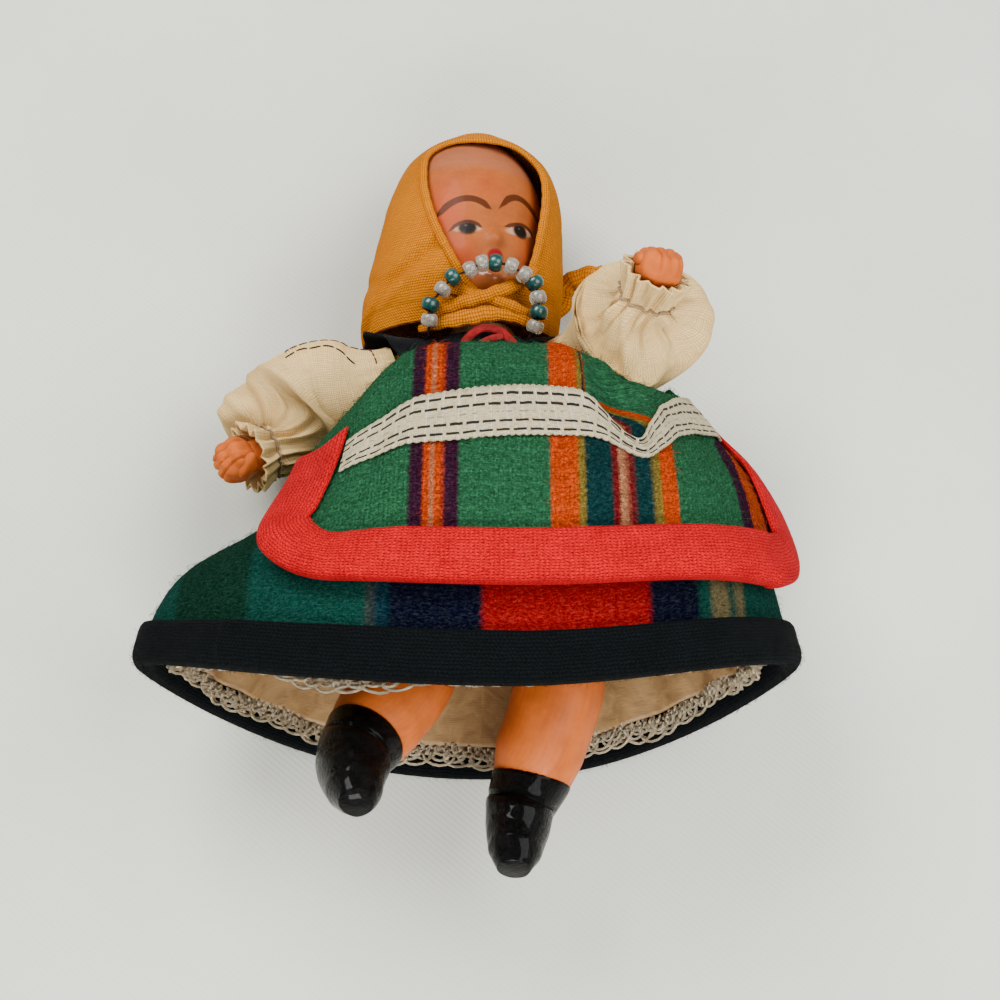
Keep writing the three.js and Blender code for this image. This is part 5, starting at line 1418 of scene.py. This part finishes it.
def ribbon_finish():
    """Woven ribbon: cream ribs, rows of black dashes, one thinner broken row, pale picks between dashes."""
    f = Finish("woven_ribbon", roughness=0.8, specular_ior_level=0.25)
    u, v = f.uv()
    wander = f.noise(f.vector(u, f.math("MULTIPLY", v, 0.4)), 0.7, 2)
    down = f.math("MULTIPLY_ADD", f.math("SUBTRACT", wander, 0.5), 0.35, v)
    streak = f.noise(f.vector(f.math("MULTIPLY", u, 1.1), f.math("MULTIPLY", v, 7.0)), 1.0, 3, 0.6)
    base = f.ramp(streak, [(0.3, rgb(130, 116, 88)), (0.5, rgb(172, 160, 128)), (0.7, rgb(196, 184, 154))])
    period = f.math("FRACT", f.math("DIVIDE", u, DASH_PITCH))
    pick = f.level(f.math("ABSOLUTE", f.math("SUBTRACT", period, 0.93)), 0.02, 0.06, 1, 0)
    base = f.mix(f.math("MULTIPLY", pick, 0.5), base, rgb(206, 196, 170))
    for at, half, strength in DASH_ROWS:
        off = f.math("ABSOLUTE", f.math("SUBTRACT", down, at))
        ragged = f.math("MULTIPLY_ADD", f.math("SUBTRACT", streak, 0.5), 0.16, half)
        line = f.level(f.math("SUBTRACT", off, ragged), -0.03, 0.05, 1, 0)
        shifted = f.math("FRACT", f.math("ADD", f.math("DIVIDE", u, DASH_PITCH), 0.13 * at))
        dash = f.level(f.math("ABSOLUTE", f.math("SUBTRACT", shifted, 0.5)), 0.38, 0.42, 1, 0)
        if strength < 1:
            dash = f.math("MULTIPLY", dash, f.level(f.noise(f.vector(u, 3.0), 0.9, 2), 0.45, 0.55))
        base = f.mix(f.math("MULTIPLY", f.math("MULTIPLY", line, dash), strength), base, rgb(16, 15, 12))
    f.set("Base Color", base)
    f.bumped(f.math("MULTIPLY_ADD", streak, 0.8, f.wave(u, 0.3)), 0.00012, 0.8)
    return f.material


RIBBON_WIDE = 7.6
RIBBON_INSET = 6.9
SCALLOP, SCALLOP_PITCH = 0.22, 1.5
RIBBON = [
    [-44, 0.23, 0.9], [-28, 0.262, 0.85], [-18, 0.293, 0.98], [-6, 0.288, 1.04], [3, 0.277, 1.04],
    [18, 0.272, 1.04], [27, 0.28, 0.85], [35.2, 0.322, 0.42], [42, 0.292, 0.62], [50, 0.25, 0.78],
    [61, 0.218, 1.04], [90, 0.22, 1.1],
]


def ribbon_grid():
    """Ribbon across the apron along a table of its top edge and open width, pinched on the right;
    both edges are scalloped every 1.5 mm by |sin|."""
    left_mm, right_mm = (dress_scale(APRON[side], 0.24)[0] for side in ("left", "right"))
    ribbon_degrees = np.linspace(
        APRON["left"] + RIBBON_INSET / left_mm, APRON["right"] - RIBBON_INSET / right_mm, 560
    )
    top, opened = along(RIBBON, ribbon_degrees)
    down_scale = dress_scale(ribbon_degrees, top + 0.05)[1]
    pinch = 1 - opened
    mm = np.cumsum(np.full(len(ribbon_degrees), 0.165))
    scallop = SCALLOP * np.abs(np.sin(mm * np.pi / SCALLOP_PITCH))
    across = np.tile(np.linspace(0, 1, 13) * RIBBON_WIDE, (len(ribbon_degrees), 1))
    across[:, 0], across[:, -1] = -scallop, RIBBON_WIDE + scallop
    squeezed = RIBBON_WIDE - (RIBBON_WIDE - across) * (1 - pinch[:, None])
    ribbon_shares = top[:, None] + squeezed / down_scale[:, None]
    degrees_across = np.broadcast_to(ribbon_degrees[:, None], ribbon_shares.shape)
    crimp = 0.5 * pinch[:, None] * np.sin(across * 3.0)
    base_lift = 0.8 + apron_relief(degrees_across, ribbon_shares) + crimp
    face = apron_point(degrees_across, ribbon_shares, base_lift + 0.4, 0.5)
    under = apron_point(degrees_across, ribbon_shares, base_lift, 0.5)
    across = both_faces(across, across)
    return capped(both_faces(face, under)), (ends_doubled(arcs(face)[0][:, 6:7]), ends_doubled(across))


apron_ribbon = piece(
    "woven_apron_ribbon", [ribbon_grid()], "torso", ribbon_finish(), "woven_ribbon", ["apron_ribbon"]
)

# Arms, sleeves and legs

SIDES = {"left": -1, "right": 1}
SHOULDER_REACH, HIP_REACH = 11.6, 9.2
HIP = np.array([0, -13.2, 19.5])
ARM_AIM = {"left": ((-26.5, -16, -2.5), (-0.2, 0, 1)), "right": ((15.9, 0.3, 26.8), (-0.1, 1, 0))}
LEG_AIM = {"left": ((-6.4, -34, 13.8), (0.9, 0.2, 1)), "right": ((0, -1, 0), (0, 0, 1))}


def aimed(points, towards, front, at, mirrored):
    """A limb from its own frame, ball at the origin and length down -y, turned along two directions."""
    y = unit(-np.array(towards, float))
    z = np.array(front, float)
    z = unit(z - y * (z @ y))
    x = np.cross(y, z)
    p = points * np.array([-1 if mirrored else 1, 1, 1])
    return p[..., :1] * x + p[..., 1:2] * y + p[..., 2:3] * z + np.array(at, float)


def shoulder_at(side, out=0.0):
    """The middle of a shoulder's ball, or a point further out beside it."""
    return SHOULDER + np.array([BODY_X + SIDES[side] * (SHOULDER_REACH + out), 0, 0])


def on_arm(points, side):
    """From an arm's own frame to its shoulder, mirrored for the left one."""
    return aimed(points, *ARM_AIM[side], shoulder_at(side), side == "left")


def on_leg(points, side):
    """From a leg's own frame to its hip."""
    return aimed(points, *LEG_AIM[side], HIP + np.array([BODY_X + SIDES[side] * HIP_REACH, 0, 0]), False)


SLEEVE_PATH = [
    (0.7, -7.5, -0.6), (0.8, -13.5, -0.6), (0.5, -19.6, 0.2), (0.2, -24.8, 2.1), (0.2, -26.6, 3),
    (0.1, -29.6, 4.8),
]
SLEEVE_SIZES = {
    "left": [5.6, 5.9, 6.8, 9.4, 11.2, 4, 3.9, 5.4], "right": [5.6, 5.9, 6.8, 9.2, 10.8, 4, 3.9, 5.2]
}
SLACK = {
    "left": [(-1.6, 0.6, 0), (-3.4, 2.2, -0.6), (-2.6, 1.8, -0.8), (0, 0, 0), (0, 0, 0), (0, 0, 0)],
    "right": [
        (0.9, 0.4, -1.2), (2.8, 1.7, -0.6), (3.0, 2.2, 0), (0.3, 0.3, 0.2), (0.2, 0.5, 0.6), (0.4, 1.2, 1.4)
    ],
}


# Each crease: share of the length, angle, slant, width along, reach round and rise in millimetres
SLEEVE_CREASES = {
    "left": [
        (0.45, 1.2, 0.06, 0.05, 0.75, -1.7), (0.58, 1.9, -0.05, 0.045, 0.6, -1.6),
        (0.6, 5.45, 0.05, 0.04, 0.55, -3.0), (0.53, 5.3, 0.08, 0.035, 0.7, 1.5),
        (0.62, 0.15, 0.2, 0.045, 0.25, -2.2), (0.66, 0.7, 0, 0.06, 0.35, 1.6),
        (0.36, 2.2, 0.05, 0.06, 0.8, -1.0), (0.5, 6.1, -0.12, 0.04, 0.4, -1.1),
        (0.45, 4.9, 0.1, 0.04, 0.6, 0.8),
    ],
    "right": [
        (0.66, 0.95, -0.1, 0.05, 0.45, 2.0), (0.6, 1.5, -0.1, 0.035, 0.4, -1.2),
        (0.7, 2.1, -0.1, 0.06, 0.5, 1.5), (0.65, 2.85, -0.22, 0.04, 0.5, 1.8),
        (0.62, 4.0, 0.1, 0.045, 0.5, -3.0), (0.73, 4.3, -0.1, 0.04, 0.6, 1.8), (0.55, 4.8, 0, 0.07, 0.6, 1.2),
        (0.5, 3.5, 0.12, 0.04, 0.5, -1.6), (0.34, 1.6, 0.05, 0.06, 0.8, -0.6),
    ],
}


def sleeve_line(side):
    """Middle line of a sleeve: two points straight out of the armhole, then the arm's path and its slack."""
    towards = np.array(ARM_AIM[side][0], float)
    line = []
    for out in (1.6, 3.1):
        point = shoulder_at(side) + towards * 0.6 * out / abs(towards[0])
        point[0] = shoulder_at(side, out)[0]
        line.append(point)
    rest = on_arm(np.array(SLEEVE_PATH), side) + np.array(SLACK[side])
    return np.vstack([line, rest])


def sleeve_swell(u, q, side):
    """Gathers and wrinkles of a puffed sleeve, in millimetres: waves round the wrist that run out over
    the puff, fewer at the shoulder, and creases, each exp(-(off / wide)^2) across a slanting line."""
    u, q = u[:, None], q[None, :]
    seed = 61 if side == "left" else 62
    wrist = ease(u, 0.52, 0.76)
    total = 0.5 * soft_waves(u * 9, 2.2 * np.cos(q) + 1.7 * np.sin(q), seed)
    gathered = np.sin(13 * q + 3 * u) + 0.6 * np.sin(19 * q + 1.0 - 5 * u)
    total = total + 0.55 * wrist * gathered * (1 - 0.55 * bump(u, 0.83, 0.05))
    total = total + 0.25 * (1 - ease(u, 0.06, 0.3)) * np.sin(17 * q)
    for u0, q0, slope, wide, reach, rise in SLEEVE_CREASES[side]:
        off = np.angle(np.exp(1j * (q - q0)))
        total = total + rise * bump(u - slope * off, u0, wide) * bump(off, 0, reach)
    if side == "left":
        total = total + 2.2 * bump(u, 0.33, 0.11) * bump(np.angle(np.exp(1j * (q - 5.6))), 0, 0.6)
        total = total + 2.8 * bump(u, 0.65, 0.07) * bump(np.angle(np.exp(1j * (q - 1.25))), 0, 0.8)
    return total * ease(u, 0.0, 0.08)


def sleeve_face(side, u, q, thinner=0.0):
    """A sleeve's surface, thinner millimetres inside its outer face."""
    line = sleeve_line(side)
    sizes = [(r - thinner, r - thinner) for r in SLEEVE_SIZES[side]]
    return path_rings(line, sizes, (0, 1, 0.01), u, q, sleeve_swell(u, q, side))


WRIST_AT = 24 / 28
SLEEVE_RADIUS = 7.5
for side_name in SIDES:
    u = np.concatenate([np.linspace(0, 0.6, 60), np.linspace(0.6, 1, 90)[1:]])
    q = np.linspace(0, 2 * np.pi, 289)
    outer_sleeve = sleeve_face(side_name, u, q)
    inner_sleeve = sleeve_face(side_name, u, q, 0.6)
    walk = np.concatenate([outer_sleeve, inner_sleeve[::-1], outer_sleeve[:1]])
    map_v = arcs(outer_sleeve)[0].mean(1)
    part = (walk, ((q * SLEEVE_RADIUS)[None, :], np.concatenate([map_v, map_v[::-1], map_v[:1]])[:, None]))
    piece(
        f"{side_name}_puffed_sleeve", [part], f"{side_name}_arm", cream, "cream_cotton",
        [f"{side_name}_sleeve"],
    )
    ring_u = np.array([WRIST_AT, WRIST_AT + 1e-3])
    ring = sleeve_face(side_name, ring_u, np.linspace(0, 2 * np.pi, 97)[:-1], -0.35)[0]
    tie_thread = thread_finish(f"{side_name}_cream_thread", rgb(170, 140, 100), 0.8)
    tied = [tube_grid(ring, 0.22, 6, True)]
    names = f"{side_name}_gathering_thread", f"{side_name}_arm", f"{side_name}_wrist_thread"
    piece(names[0], tied, names[1], tie_thread, "cream_cotton", [names[2]])


def seam_stitches(side, seam, colour_name, colour, dash, gap, radius):
    """A line of hand stitches along the sleeve's seam, through (u, q) points of its surface: dashes
    of thread on the cloth."""
    seam_line = spline([(a, b, 0) for a, b in seam], np.linspace(0, 1, 400))
    map_u, round_q = seam_line[:, 0] + 0.002 * np.sin(np.arange(400) / 9), seam_line[:, 1]
    fine = [
        sleeve_face(side, np.array([a, a + 1e-3]), np.array([b]), -0.12)[0, 0] for a, b in zip(map_u, round_q)
    ]
    fine = np.array(fine)
    seam_mm = lengths_along(fine)
    made_parts = []
    dash_start = 0.0
    while dash_start + dash < seam_mm[-1]:
        want = np.linspace(dash_start, dash_start + dash, 8)
        seam_line = np.stack([np.interp(want, seam_mm, fine[:, k]) for k in range(3)], 1)
        thin = radius * np.array([0.5, 0.9, 1, 1, 1, 1, 0.9, 0.5])
        made_parts.append(capped(tube_grid(seam_line, thin, 6)))
        dash_start += dash + gap
    thread_look = thread_finish(colour_name, colour, 0.8)
    return piece(colour_name, made_parts, f"{side}_arm", thread_look, "cream_cotton")


brown_seam = [
    (0.445, 5.62), (0.42, 5.8), (0.37, 5.83), (0.31, 5.85), (0.235, 5.85), (0.182, 5.6), (0.168, 4.96)
]
black_seam = [
    (0.452, 5.4), (0.42, 5.46), (0.39, 5.4), (0.352, 5.43), (0.302, 5.36), (0.242, 5.01), (0.228, 4.8)
]
seam_stitches("left", brown_seam, "brown_seam_stitches", rgb(84, 32, 20), 1.5, 0.25, 0.13)
seam_stitches("left", black_seam, "black_seam_stitches", rgb(18, 17, 18), 1.9, 0.35, 0.13)

ARM_PATH = [(0, 0, 0), (0.6, -7, -1), (0.8, -15, -1.4), (0.4, -22, 0.8), (0, -30, 5.2)]
ARM_SIZES = [(3.8, 3.8), (4, 3.9), (3.5, 3.4), (3, 2.9), (2.5, 2.2)]
FIST = np.array([0, -31.6, 6.6])


def fist_grid(side):
    """A closed hand: a squared ellipsoid turned 35 degrees, cut by grooves between the fingers,
    depth 0.55 exp(-((x - groove) / 0.2)^2), with uneven knuckles; and a thumb across it."""
    body = ball_grid((0, 0, 0), (3.35, 3.0, 2.75), 96, 64, 0.62)
    x, row_y, z = body[..., 0], body[..., 1], body[..., 2]
    draws = np.random.default_rng(71 if side == "left" else 72)
    groove = sum(np.exp(-(((x - g) / 0.2) ** 2)) for g in (-1.66, 0.0, 1.66))
    facing = ease(z, -1.2, 0.6)
    lumps = 0.16 * soft_waves(x * 1.6, row_y * 1.6 + z, 73 if side == "left" else 74)
    knuckle = 0.22 * np.cos(row_y * 2.2 + draws.uniform(0, 1)) * facing
    body = body + unit(body) * (lumps + knuckle - 0.55 * groove * facing)[..., None]
    body = turned(body, (1, 0, 0), 35) + FIST
    thumb = ball_grid((0, 0, 0), (0.95, 2.3, 1.05), 40, 28, 0.85)
    thumb = turned(turned(thumb, (0, 0, 1), -24), (1, 0, 0), 20) + FIST + np.array([-2.6, 1.3, 1.5])
    return [body, thumb]


hand_paint = painted("hand_paint", rgb(188, 90, 24), rgb(156, 70, 14), 0.75, 0.0)
for side_name in SIDES:
    u = np.linspace(0, 1, 70)
    q = np.linspace(0, 2 * np.pi, 65)
    upper = capped(path_rings(ARM_PATH, ARM_SIZES, (1, 0, 0), u, q))
    shoulder_ball = ball_grid((0, 0, 0), (4.2, 4.2, 4.2), 48, 32)
    grids = [on_arm(g, side_name) for g in [upper, shoulder_ball, *fist_grid(side_name)]]
    piece(
        f"{side_name}_arm_and_fist", grids, f"{side_name}_arm", hand_paint, "painted_composition",
        [f"{side_name}_arm"],
    )

LEG_PATH = [
    (0, 0, 0), (1.6, -10, 0), (3, -20, 0.3), (1.6, -26.3, 0.1), (0, -30.6, -0.4),
    (-1.4, -35, -0.9), (-3, -39.2, -0.2), (-3.6, -43, 1.8), (-3.9, -46.8, 4.2), (-4.2, -49.6, 5.8),
]
LEG_SIZES = [
    (6, 6), (7, 6.9), (7.1, 6.8), (6.9, 6.7), (6.9, 6.6), (6, 5.9), (5.1, 5.3), (4.7, 4.9), (3.8, 3.7),
    (2.3, 2),
]


def leg_finish():
    """Flesh paint above the boot line and gloss black below it; mark counts millimetres past the line."""
    f = Finish("leg_and_boot_paint", ior=1.5, coat_roughness=0.04, subsurface_scale=0.002)
    spot = f.place()
    tone = f.noise(spot, 0.18, 4)
    brush = f.noise(spot, 1.1, 4, 0.6)
    flesh = f.mix(f.level(tone, 0.35, 0.68), rgb(184, 92, 34), rgb(160, 76, 22))
    along_leg, round_leg = f.uv()
    streak = f.noise(
        f.vector(f.math("MULTIPLY", round_leg, 1.5), f.math("MULTIPLY", along_leg, 0.1)), 1.0, 4, 0.6
    )
    flesh = f.times(flesh, f.level(brush, 0.3, 0.7, 0.95, 1.05))
    flesh = f.times(flesh, f.level(streak, 0.3, 0.7, 0.9, 1.08))
    ragged = f.math("MULTIPLY_ADD", f.math("SUBTRACT", brush, 0.5), 0.5, f.mark())
    black = f.level(ragged, -0.06, 0.06)
    chips = f.level(f.noise(spot, 1.6, 4, 0.65), 0.7, 0.73)
    worn = f.math("MULTIPLY", chips, f.level(f.mark(), 13, 17))
    boot = f.mix(worn, rgb(2, 2, 2), rgb(70, 62, 50))
    f.set("Base Color", f.mix(black, flesh, boot))
    f.set("Roughness", f.mix(black, (0.5, 0.5, 0.5, 1), (0.09, 0.09, 0.09, 1)))
    f.set("Coat Weight", f.level(black, 0, 1, 0.03, 0.1))
    f.set("Specular IOR Level", f.level(black, 0, 1, 0.2, 0.05))
    runs = f.noise(spot, 0.95, 4, 0.62, 1.6)
    height = f.math("MULTIPLY", black, f.math("MULTIPLY_ADD", runs, 1.0, f.level(ragged, 0, 0.5)))
    f.bumped(f.math("MULTIPLY_ADD", brush, 0.08, height), 0.0008, 0.8)
    return f.material


leg_paint = leg_finish()


def boot_line(points, side):
    """Millimetres below the boot's painted line, a slanting plane in the limb's frame."""
    tilt, at = {"left": (-0.34, -35.2), "right": (-0.24, -35.6)}[side]
    return at - points[..., 1] + tilt * points[..., 0]


def leg_relief(u, q, points, side):
    """Soft unevenness of the casting; below the boot line a lip of paint, the boot's crumples and
    the crease over the instep, a hollow exp(-(off / wide)^2) along the leg that fades to the sole."""
    below = boot_line(points, side)
    soft = 0.12 * soft_waves(u[:, None] * 12, 2 * np.cos(q)[None, :] + np.sin(q)[None, :], 81)
    lip = 0.22 * ease(below, -0.2, 0.25)
    crumple = 0.22 * soft_waves(
        u[:, None] * 34, 3 * np.cos(q)[None, :] + 2 * np.sin(q)[None, :], 83
    ) * ease(below, 1.5, 5)
    front = 0.5 + 0.5 * np.sin(q)[None, :]
    wobble = 0.25 * np.sin(3 * q)[None, :]
    crease = -0.55 * bump(below, 3.9 + wobble, 0.42) * ease(front, 0.35, 0.8)
    swell = 0.5 * bump(below, 5.6, 1.5) * ease(front, 0.4, 0.9)
    return soft + lip + crumple + crease + swell


for side_name in SIDES:
    u = np.concatenate([np.linspace(0, 0.62, 90), np.linspace(0.62, 1, 220)[1:]])
    q = np.linspace(0, 2 * np.pi, 145)
    plain = path_rings(LEG_PATH, LEG_SIZES, (1, 0, 0), u, q, np.zeros((len(u), len(q))))
    whole = path_rings(LEG_PATH, LEG_SIZES, (1, 0, 0), u, q, leg_relief(u, q, plain, side_name))
    hip = ball_grid((0, 0, 0), (6.4, 6.4, 6.4), 56, 40)
    made_parts = []
    for g in (capped(whole), hip):
        made_parts.append((on_leg(g, side_name), None, boot_line(g, side_name)))
    piece(
        f"{side_name}_leg_and_boot", made_parts, f"{side_name}_leg", leg_paint, "painted_composition",
        [f"{side_name}_leg"],
    )

# Hard nodes that stay: the torso, its elastics and the neck's hook


def pressed_board():
    """Unpainted composition: pressed sawdust, grains and small pits."""
    f = Finish("pressed_composition", roughness=0.85, specular_ior_level=0.25)
    spot = f.place()
    grain = f.cells(spot, 1.8)
    tone = f.noise(spot, 0.25, 5)
    base = f.ramp(tone, [(0.3, rgb(176, 128, 86)), (0.55, rgb(204, 152, 106)), (0.75, rgb(220, 172, 126))])
    f.set("Base Color", f.times(base, f.level(grain, 0.0, 0.6, 0.8, 1.08)))
    f.bumped(f.math("MULTIPLY_ADD", tone, 0.8, grain), 0.0002, 0.7)
    return f.material


def covered_elastic():
    """Cotton-covered elastic: slanting braid over a rubber core, a little yellowed."""
    f = Finish("covered_elastic", roughness=0.85, sheen_weight=0.2)
    spot = f.place()
    x, y, z = f.node("ShaderNodeSeparateXYZ", {0: spot}).outputs
    braid = f.math("MULTIPLY", f.wave(f.math("ADD", x, y), 0.5), f.wave(f.math("SUBTRACT", x, z), 0.5))
    base = f.mix(f.level(braid, 0, 0.5), rgb(176, 164, 136), rgb(234, 226, 206))
    f.set("Base Color", f.times(base, f.level(f.noise(spot, 0.4, 3), 0.3, 0.7, 0.85, 1.06)))
    f.bumped(braid, 0.0001, 0.8)
    return f.material


def drawn_wire():
    """Iron wire: drawing lines, dulled and rusted in spots."""
    f = Finish("iron_wire", metallic=1.0)
    spot = f.place()
    rust = f.level(f.noise(spot, 0.9, 5, 0.65), 0.52, 0.66)
    drawn = f.node("ShaderNodeVectorMath", {0: spot, 1: (6, 0.4, 6)}, operation="MULTIPLY").outputs[0]
    lines = f.noise(drawn, 1.0, 3)
    f.set("Base Color", f.mix(rust, f.mix(lines, rgb(120, 118, 114), rgb(176, 174, 168)), rgb(104, 62, 34)))
    f.set("Metallic", f.level(rust, 0, 1, 1.0, 0.1))
    f.set("Roughness", f.level(rust, 0, 1, 0.35, 0.85))
    f.bumped(f.math("MULTIPLY_ADD", rust, 0.8, lines), 0.00005, 0.6)
    return f.material


def refinish(node, material):
    """A node of the frame that stays as it is, in another material."""
    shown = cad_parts[node]
    if not shown.material_slots:
        shown.data.materials.append(material)
    for material_slot in shown.material_slots:
        material_slot.material = material


refinish("torso", pressed_board())
elastic_finish = covered_elastic()
refinish("shoulder_elastic", elastic_finish)
refinish("hip_elastic", elastic_finish)
refinish("neck_hook", drawn_wire())

# Loose fibres of the wool and the cut edges


def fibres(name, roots, normals, maps, length, radius, lean, seed, material, slot):
    """Hairs from a surface: root + n h s + side r s + curl, s from 0 to 1, each a three-sided tube
    that narrows to nothing; they take the stripe under their root."""
    draws = np.random.default_rng(seed)
    n = len(roots)
    sidewards = unit(np.cross(normals, draws.normal(size=(n, 3))))
    other = np.cross(normals, sidewards)
    size = length * draws.uniform(0.35, 1.3, n)[:, None]
    rise = draws.uniform(0.1, lean, n)[:, None]
    taper = np.array([0.0, 1, 0.9, 0.75, 0.5, 0.0])
    turns = len(taper)
    part_way = np.linspace(0, 1, turns)[None, :, None]
    curl = draws.uniform(-1, 1, n)[:, None]
    foot = roots - normals * 0.15
    line = foot[:, None] + normals[:, None] * (size * rise)[:, None] * np.sin(part_way * 2.2)
    line = line + sidewards[:, None] * size[:, None] * part_way
    line = line + other[:, None] * (size * curl)[:, None] * part_way**2 * 0.7
    round_q = np.linspace(0, 2 * np.pi, 4)[None, None, :, None]
    thin = radius * taper[None, :, None, None]
    ring = line[:, :, None] + thin * (
        normals[:, None, None] * np.cos(round_q) + other[:, None, None] * np.sin(round_q)
    )
    hair_grid = ring.reshape(n * turns, 4, 3)
    kept = np.ones((n * turns - 1, 3), bool)
    kept[turns - 1 :: turns] = False
    map_u = np.repeat(maps[0], turns)[:, None] + np.zeros(4)
    map_v = np.repeat(maps[1], turns)[:, None] + np.zeros(4)
    return piece(name, [(hair_grid, (map_u, map_v), None, kept)], "torso", material, slot)


def dress_fibres(name, cloth, uv, count, seed, length, radius, lean, material, slot, columns=None):
    """Fibres at random points of a cloth's grid, leaning away from the middle of the dress."""
    rng = np.random.default_rng(seed)
    columns = columns or (1, cloth.shape[1] - 2)
    i = rng.integers(1, cloth.shape[0] - 2, count)
    j = rng.integers(columns[0], columns[1], count)
    share_i, share_j = rng.random(count)[:, None], rng.random(count)[:, None]
    a = cloth[i + 1, j] - cloth[i, j]
    b = cloth[i, j + 1] - cloth[i, j]
    roots = cloth[i, j] + a * share_i + b * share_j
    normals = unit(np.cross(a, b))
    normals = normals * np.sign((normals * (roots - DRESS_MIDDLE)).sum(1))[:, None]
    maps = [m[i, j] + (m[i + 1, j] - m[i, j]) * share_i[:, 0] for m in uv]
    return fibres(name, roots, normals, maps, length, radius, lean, seed + 1, material, slot)


DRESS_MIDDLE = np.array([2, -10, 25])
CREST_COLUMNS = (0, 8)
HEM_OUTSIDE = 24
apron_cloth = (outer_face, (cloth_u, cloth_v))
apron_hair = dress_fibres(
    "apron_wool_fibres", *apron_cloth, 6500, 91, 1.5, 0.03, 0.55, apron_wool, "apron_wool"
)
crest_hair = dress_fibres(
    "apron_crest_fibres", *apron_cloth, 1600, 93, 1.9, 0.035, 1.0, apron_wool, "apron_wool", CREST_COLUMNS
)
outside = len(skirt_shares)
skirt_cloth = (skirt_grid[:, :outside], [m[:, :outside] for m in skirt_uv])
skirt_hair = dress_fibres(
    "skirt_wool_fibres", *skirt_cloth, 6500, 95, 1.5, 0.03, 0.6, skirt_wool, "striped_wool"
)
hem_cloth = (hem_braid_grid[:, :HEM_OUTSIDE], (np.zeros(hem_braid_grid.shape[:2]),) * 2)
hem_hair = dress_fibres(
    "hem_braid_fibres", *hem_cloth, 4200, 97, 0.8, 0.03, 0.8, hem_finish, "black_braid"
)

# Stage


def table_cloth():
    """A plain pale cloth: a faint slanting twill and soft undulations."""
    f = Finish("pale_table_cloth", roughness=0.9, sheen_weight=0.1)
    spot = f.place()
    axes = f.node("ShaderNodeSeparateXYZ", {0: spot})
    twill = f.wave(f.math("MULTIPLY_ADD", axes.outputs[0], 0.8, axes.outputs[1]), 1.05)
    soft = f.noise(spot, 0.02, 3)
    base = f.mix(f.level(soft, 0.3, 0.7), rgb(192, 194, 184), rgb(202, 204, 195))
    f.set("Base Color", f.times(base, f.level(twill, 0, 1, 0.985, 1.01)))
    f.bumped(twill, 0.00006, 0.5)
    return f.material


TABLE_HALF = 1.5
floor_mesh = bpy.data.meshes.new("table_top")
floor_corners = [(x * TABLE_HALF, y * TABLE_HALF, 0) for x, y in ((-1, -1), (1, -1), (1, 1), (-1, 1))]
floor_mesh.from_pydata(floor_corners, [], [(0, 1, 2, 3)])
floor_mesh.materials.append(table_cloth())
floor = bpy.data.objects.new("table_top", floor_mesh)
bpy.context.scene.collection.objects.link(floor)


def area_light(name, place, target, size, power, colour):
    """A rectangular lamp, its place and target in metres and its power in watts."""
    data = bpy.data.lights.new(name, "AREA")
    data.shape = "RECTANGLE"
    data.size, data.size_y = size
    data.energy = power
    data.color = colour
    lamp = bpy.data.objects.new(name, data)
    lamp.location = place
    lamp.rotation_euler = (Vector(target) - Vector(place)).to_track_quat("-Z", "Y").to_euler()
    bpy.context.scene.collection.objects.link(lamp)


area_light("window_light", (-0.22, 0.3, 0.46), (0, 0, 0.02), (0.34, 0.26), 5.6, (1.0, 0.985, 0.96))
area_light("room_light", (0.34, 0.02, 0.5), (0, 0, 0.02), (0.42, 0.42), 4.2, (0.98, 0.985, 0.99))
area_light("low_light", (0.03, -0.36, 0.3), (0, -0.03, 0.02), (0.3, 0.14), 3.4, (1.0, 0.98, 0.95))
world = bpy.data.worlds.new("studio")
world.use_nodes = True
background = world.node_tree.nodes["Background"]
background.inputs["Color"].default_value = (0.86, 0.9, 0.95, 1)
background.inputs["Strength"].default_value = 0.3
bpy.context.scene.world = world
